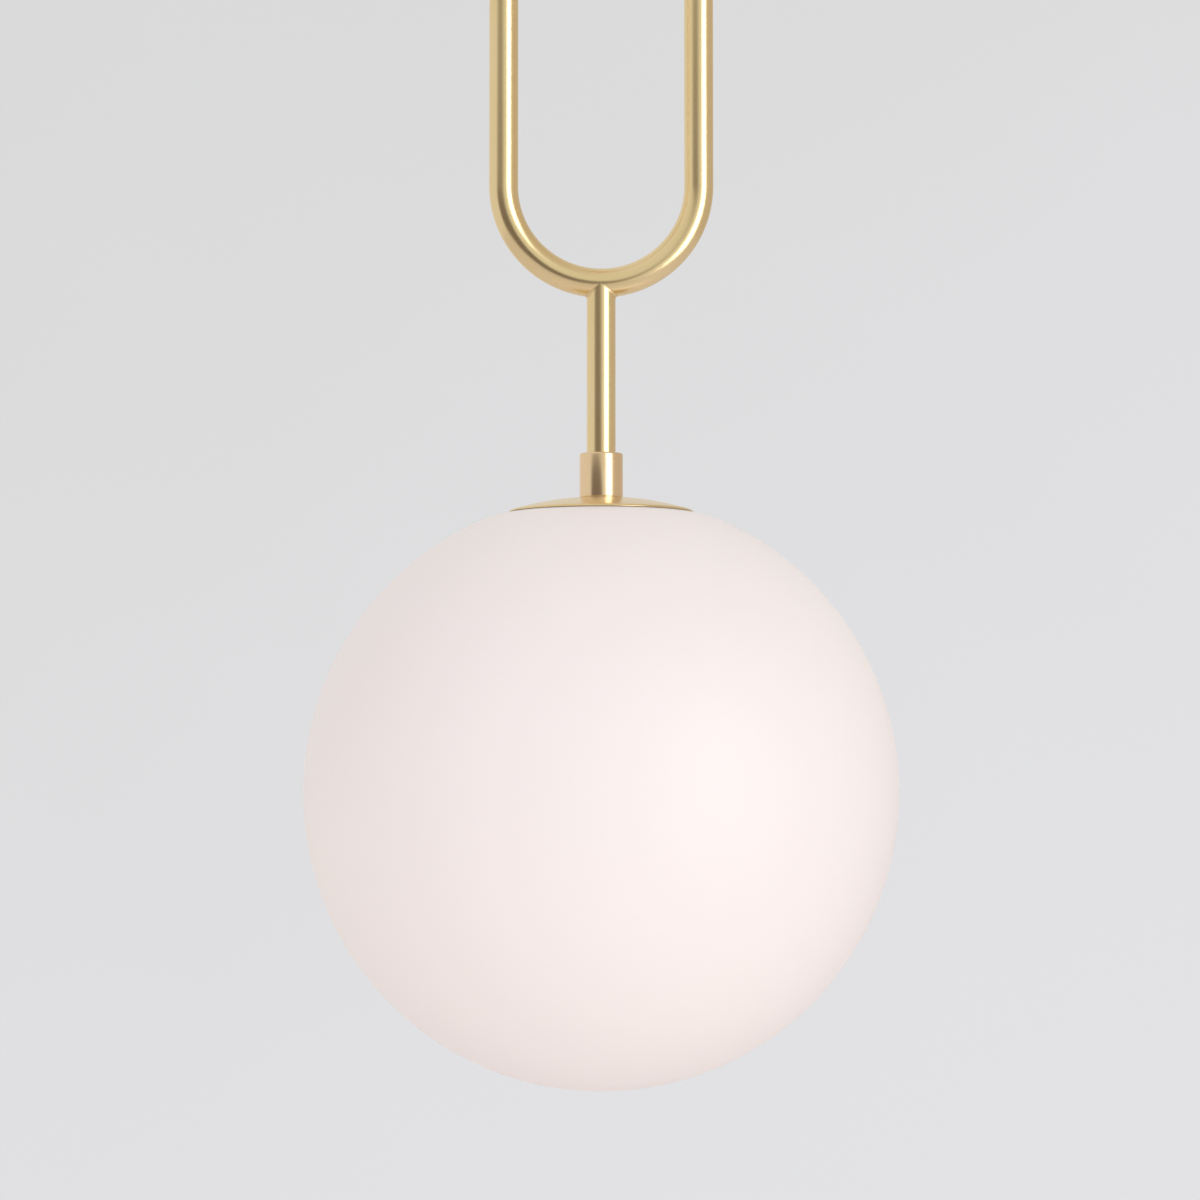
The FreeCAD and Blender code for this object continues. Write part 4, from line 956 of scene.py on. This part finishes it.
def floor_plane():
    """A plain pale floor well below the light, wide enough for every view."""
    mesh = bpy.data.meshes.new("studio_floor")
    half = 6
    level = -2.6
    mesh.from_pydata([(-half, -half, level), (half, -half, level), (half, half, level),
                      (-half, half, level)], [], [(0, 1, 2, 3)])
    ground = bpy.data.objects.new("studio_floor", mesh)
    bpy.context.scene.collection.objects.link(ground)
    surface = Surface("studio_floor", (0.87, 0.825, 0.80), 0.7)
    cloud = surface.noise((1.5, 1.5, 1.5), detail=2)
    surface.tint(cloud, (0.85, 0.805, 0.78), 0.4, 0.6)
    paint(ground, surface.material)


def studio_world():
    """Even light on the object and a plain pale background for the camera.  Brass mirrors a pale room
    that dims to the right, with a dark patch in front of the light and to the left."""
    world = bpy.data.worlds.new("studio")
    bpy.context.scene.world = world
    world.use_nodes = True
    world.node_tree.nodes.clear()
    room = Tree(world.node_tree)
    out = room.node("ShaderNodeOutputWorld")
    light = room.node("ShaderNodeBackground", Color=(*LIGHT_TONE, 1), Strength=LIGHT_STRENGTH)
    seen = room.node("ShaderNodeBackground")
    mirrored = room.node("ShaderNodeBackground")
    ray = room.node("ShaderNodeLightPath")
    way = room.node("ShaderNodeTexCoord").outputs["Generated"]
    split = room.node("ShaderNodeSeparateXYZ")
    room.wire(way, split.inputs[0])

    def fade(source, least, most):
        """How far a direction has gone from one value to another, eased."""
        made = room.node("ShaderNodeMapRange", interpolation_type="SMOOTHSTEP")
        made.inputs[1].default_value = least
        made.inputs[2].default_value = most
        room.wire(source, made.inputs[0])
        return made.outputs[0]

    def blend(share, here, there):
        """Mix two colours, either of them a socket."""
        made = room.node("ShaderNodeMix", data_type="RGBA")
        room.wire(share, made.inputs[0])
        for socket, colour in ((made.inputs[6], here), (made.inputs[7], there)):
            if isinstance(colour, tuple):
                socket.default_value = (*colour, 1)
            else:
                room.wire(colour, socket)
        return made.outputs[2]

    def vector(operation, source, other=(0, 0, 0)):
        """One step of vector arithmetic."""
        made = room.node("ShaderNodeVectorMath", operation=operation)
        made.inputs[1].default_value = other
        room.wire(source, made.inputs[0])
        return made.outputs

    def added(source, factor, other):
        """A socket times a factor, plus another socket."""
        made = room.node("ShaderNodeMath", operation="MULTIPLY_ADD")
        room.wire(source, made.inputs[0])
        made.inputs[1].default_value = factor
        room.wire(other, made.inputs[2])
        return made.outputs[0]

    def either(test, otherwise, chosen):
        """One shader, or another where a kind of ray asks."""
        made = room.node("ShaderNodeMixShader")
        for socket, source in zip(made.inputs, (test, otherwise, chosen)):
            room.wire(source, socket)
        return made.outputs[0]

    off_centre = vector("SUBTRACT", way, PATCH_CENTRE)[0]
    squeezed = vector("MULTIPLY", off_centre, (1 / PATCH_WIDTH, 0, 1 / PATCH_HEIGHT))[0]
    from_middle = vector("LENGTH", squeezed)["Value"]
    sides = blend(fade(split.outputs["X"], -0.35, 0.75), WALL_TONE, RIGHT_TONE)
    front = blend(fade(from_middle, 0.84, 1.02), DARK_TONE, FRONT_TONE)
    room.wire(blend(fade(split.outputs["Y"], -0.66, -0.52), front, sides), mirrored.inputs["Color"])
    mottle = room.node("ShaderNodeTexNoise", Scale=14, Detail=4)
    room.wire(way, mottle.inputs["Vector"])
    slope = added(split.outputs["X"], BACKDROP_SLOPE, split.outputs["Z"])
    mottled = added(mottle.outputs["Fac"], BACKDROP_MOTTLE, slope)
    room.wire(blend(fade(mottled, -0.1, 0.34), PALE_LOW, PALE_HIGH), seen.inputs["Color"])
    straight = room.node("ShaderNodeMath", operation="MAXIMUM")
    room.wire(ray.outputs["Is Camera Ray"], straight.inputs[0])
    room.wire(ray.outputs["Is Transmission Ray"], straight.inputs[1])
    lit = either(ray.outputs["Is Glossy Ray"], light.outputs[0], mirrored.outputs[0])
    room.wire(either(straight.outputs[0], lit, seen.outputs[0]), out.inputs["Surface"])


def softbox(name, azimuth, elevation, distance, width, height, watts, colour, mirrored=False):
    """A rectangular lamp that faces the light, from a compass angle to the right of the camera."""
    aim = Vector((0, 0, GLOBE_Z + AIM_RISE))
    turn = math.radians(azimuth)
    lift = math.radians(elevation)
    way = Vector((math.sin(turn) * math.cos(lift), -math.cos(turn) * math.cos(lift), math.sin(lift)))
    lamp = bpy.data.lights.new(name, "AREA")
    lamp.shape = "RECTANGLE"
    lamp.size = width
    lamp.size_y = height
    lamp.energy = watts
    lamp.color = colour
    box = bpy.data.objects.new(name, lamp)
    box.location = aim + way * distance
    box.rotation_euler = (-way).to_track_quat("-Z", "Y").to_euler()
    box.visible_glossy = mirrored
    box.visible_diffuse = not mirrored
    bpy.context.scene.collection.objects.link(box)


def camera():
    """A long lens 1.8 metres off, level with the ball and looking slightly up past the holder."""
    rise = math.radians(3.2)
    distance = 1.8
    target_side = -0.0005
    target_rise = 0.0816
    target = Vector((target_side, 0, GLOBE_Z + target_rise))
    data = bpy.data.cameras.new("camera")
    data.sensor_width = 36
    data.lens = 127
    eye = bpy.data.objects.new("camera", data)
    way = Vector((0, math.cos(rise), math.sin(rise)))
    eye.location = target - way * distance
    eye.rotation_euler = way.to_track_quat("-Z", "Y").to_euler()
    bpy.context.scene.collection.objects.link(eye)
    bpy.context.scene.camera = eye


floor_plane()
studio_world()
softbox("window_glare", 43, 4, 2.2, 1.2, 2.4, 24, (1.0, 0.99, 0.98), mirrored=True)
softbox("window_right", 40, 5, 2.2, 1.0, 2.2, 14, (1.0, 0.985, 0.99))
softbox("soft_left", -75, 20, 2.4, 1.4, 1.8, 5, (1.0, 0.95, 0.91))
softbox("soft_low", -10, -50, 2.0, 1.4, 1.4, 6, (1.0, 0.97, 0.96))
camera()
bpy.context.scene.view_settings.view_transform = "Standard"
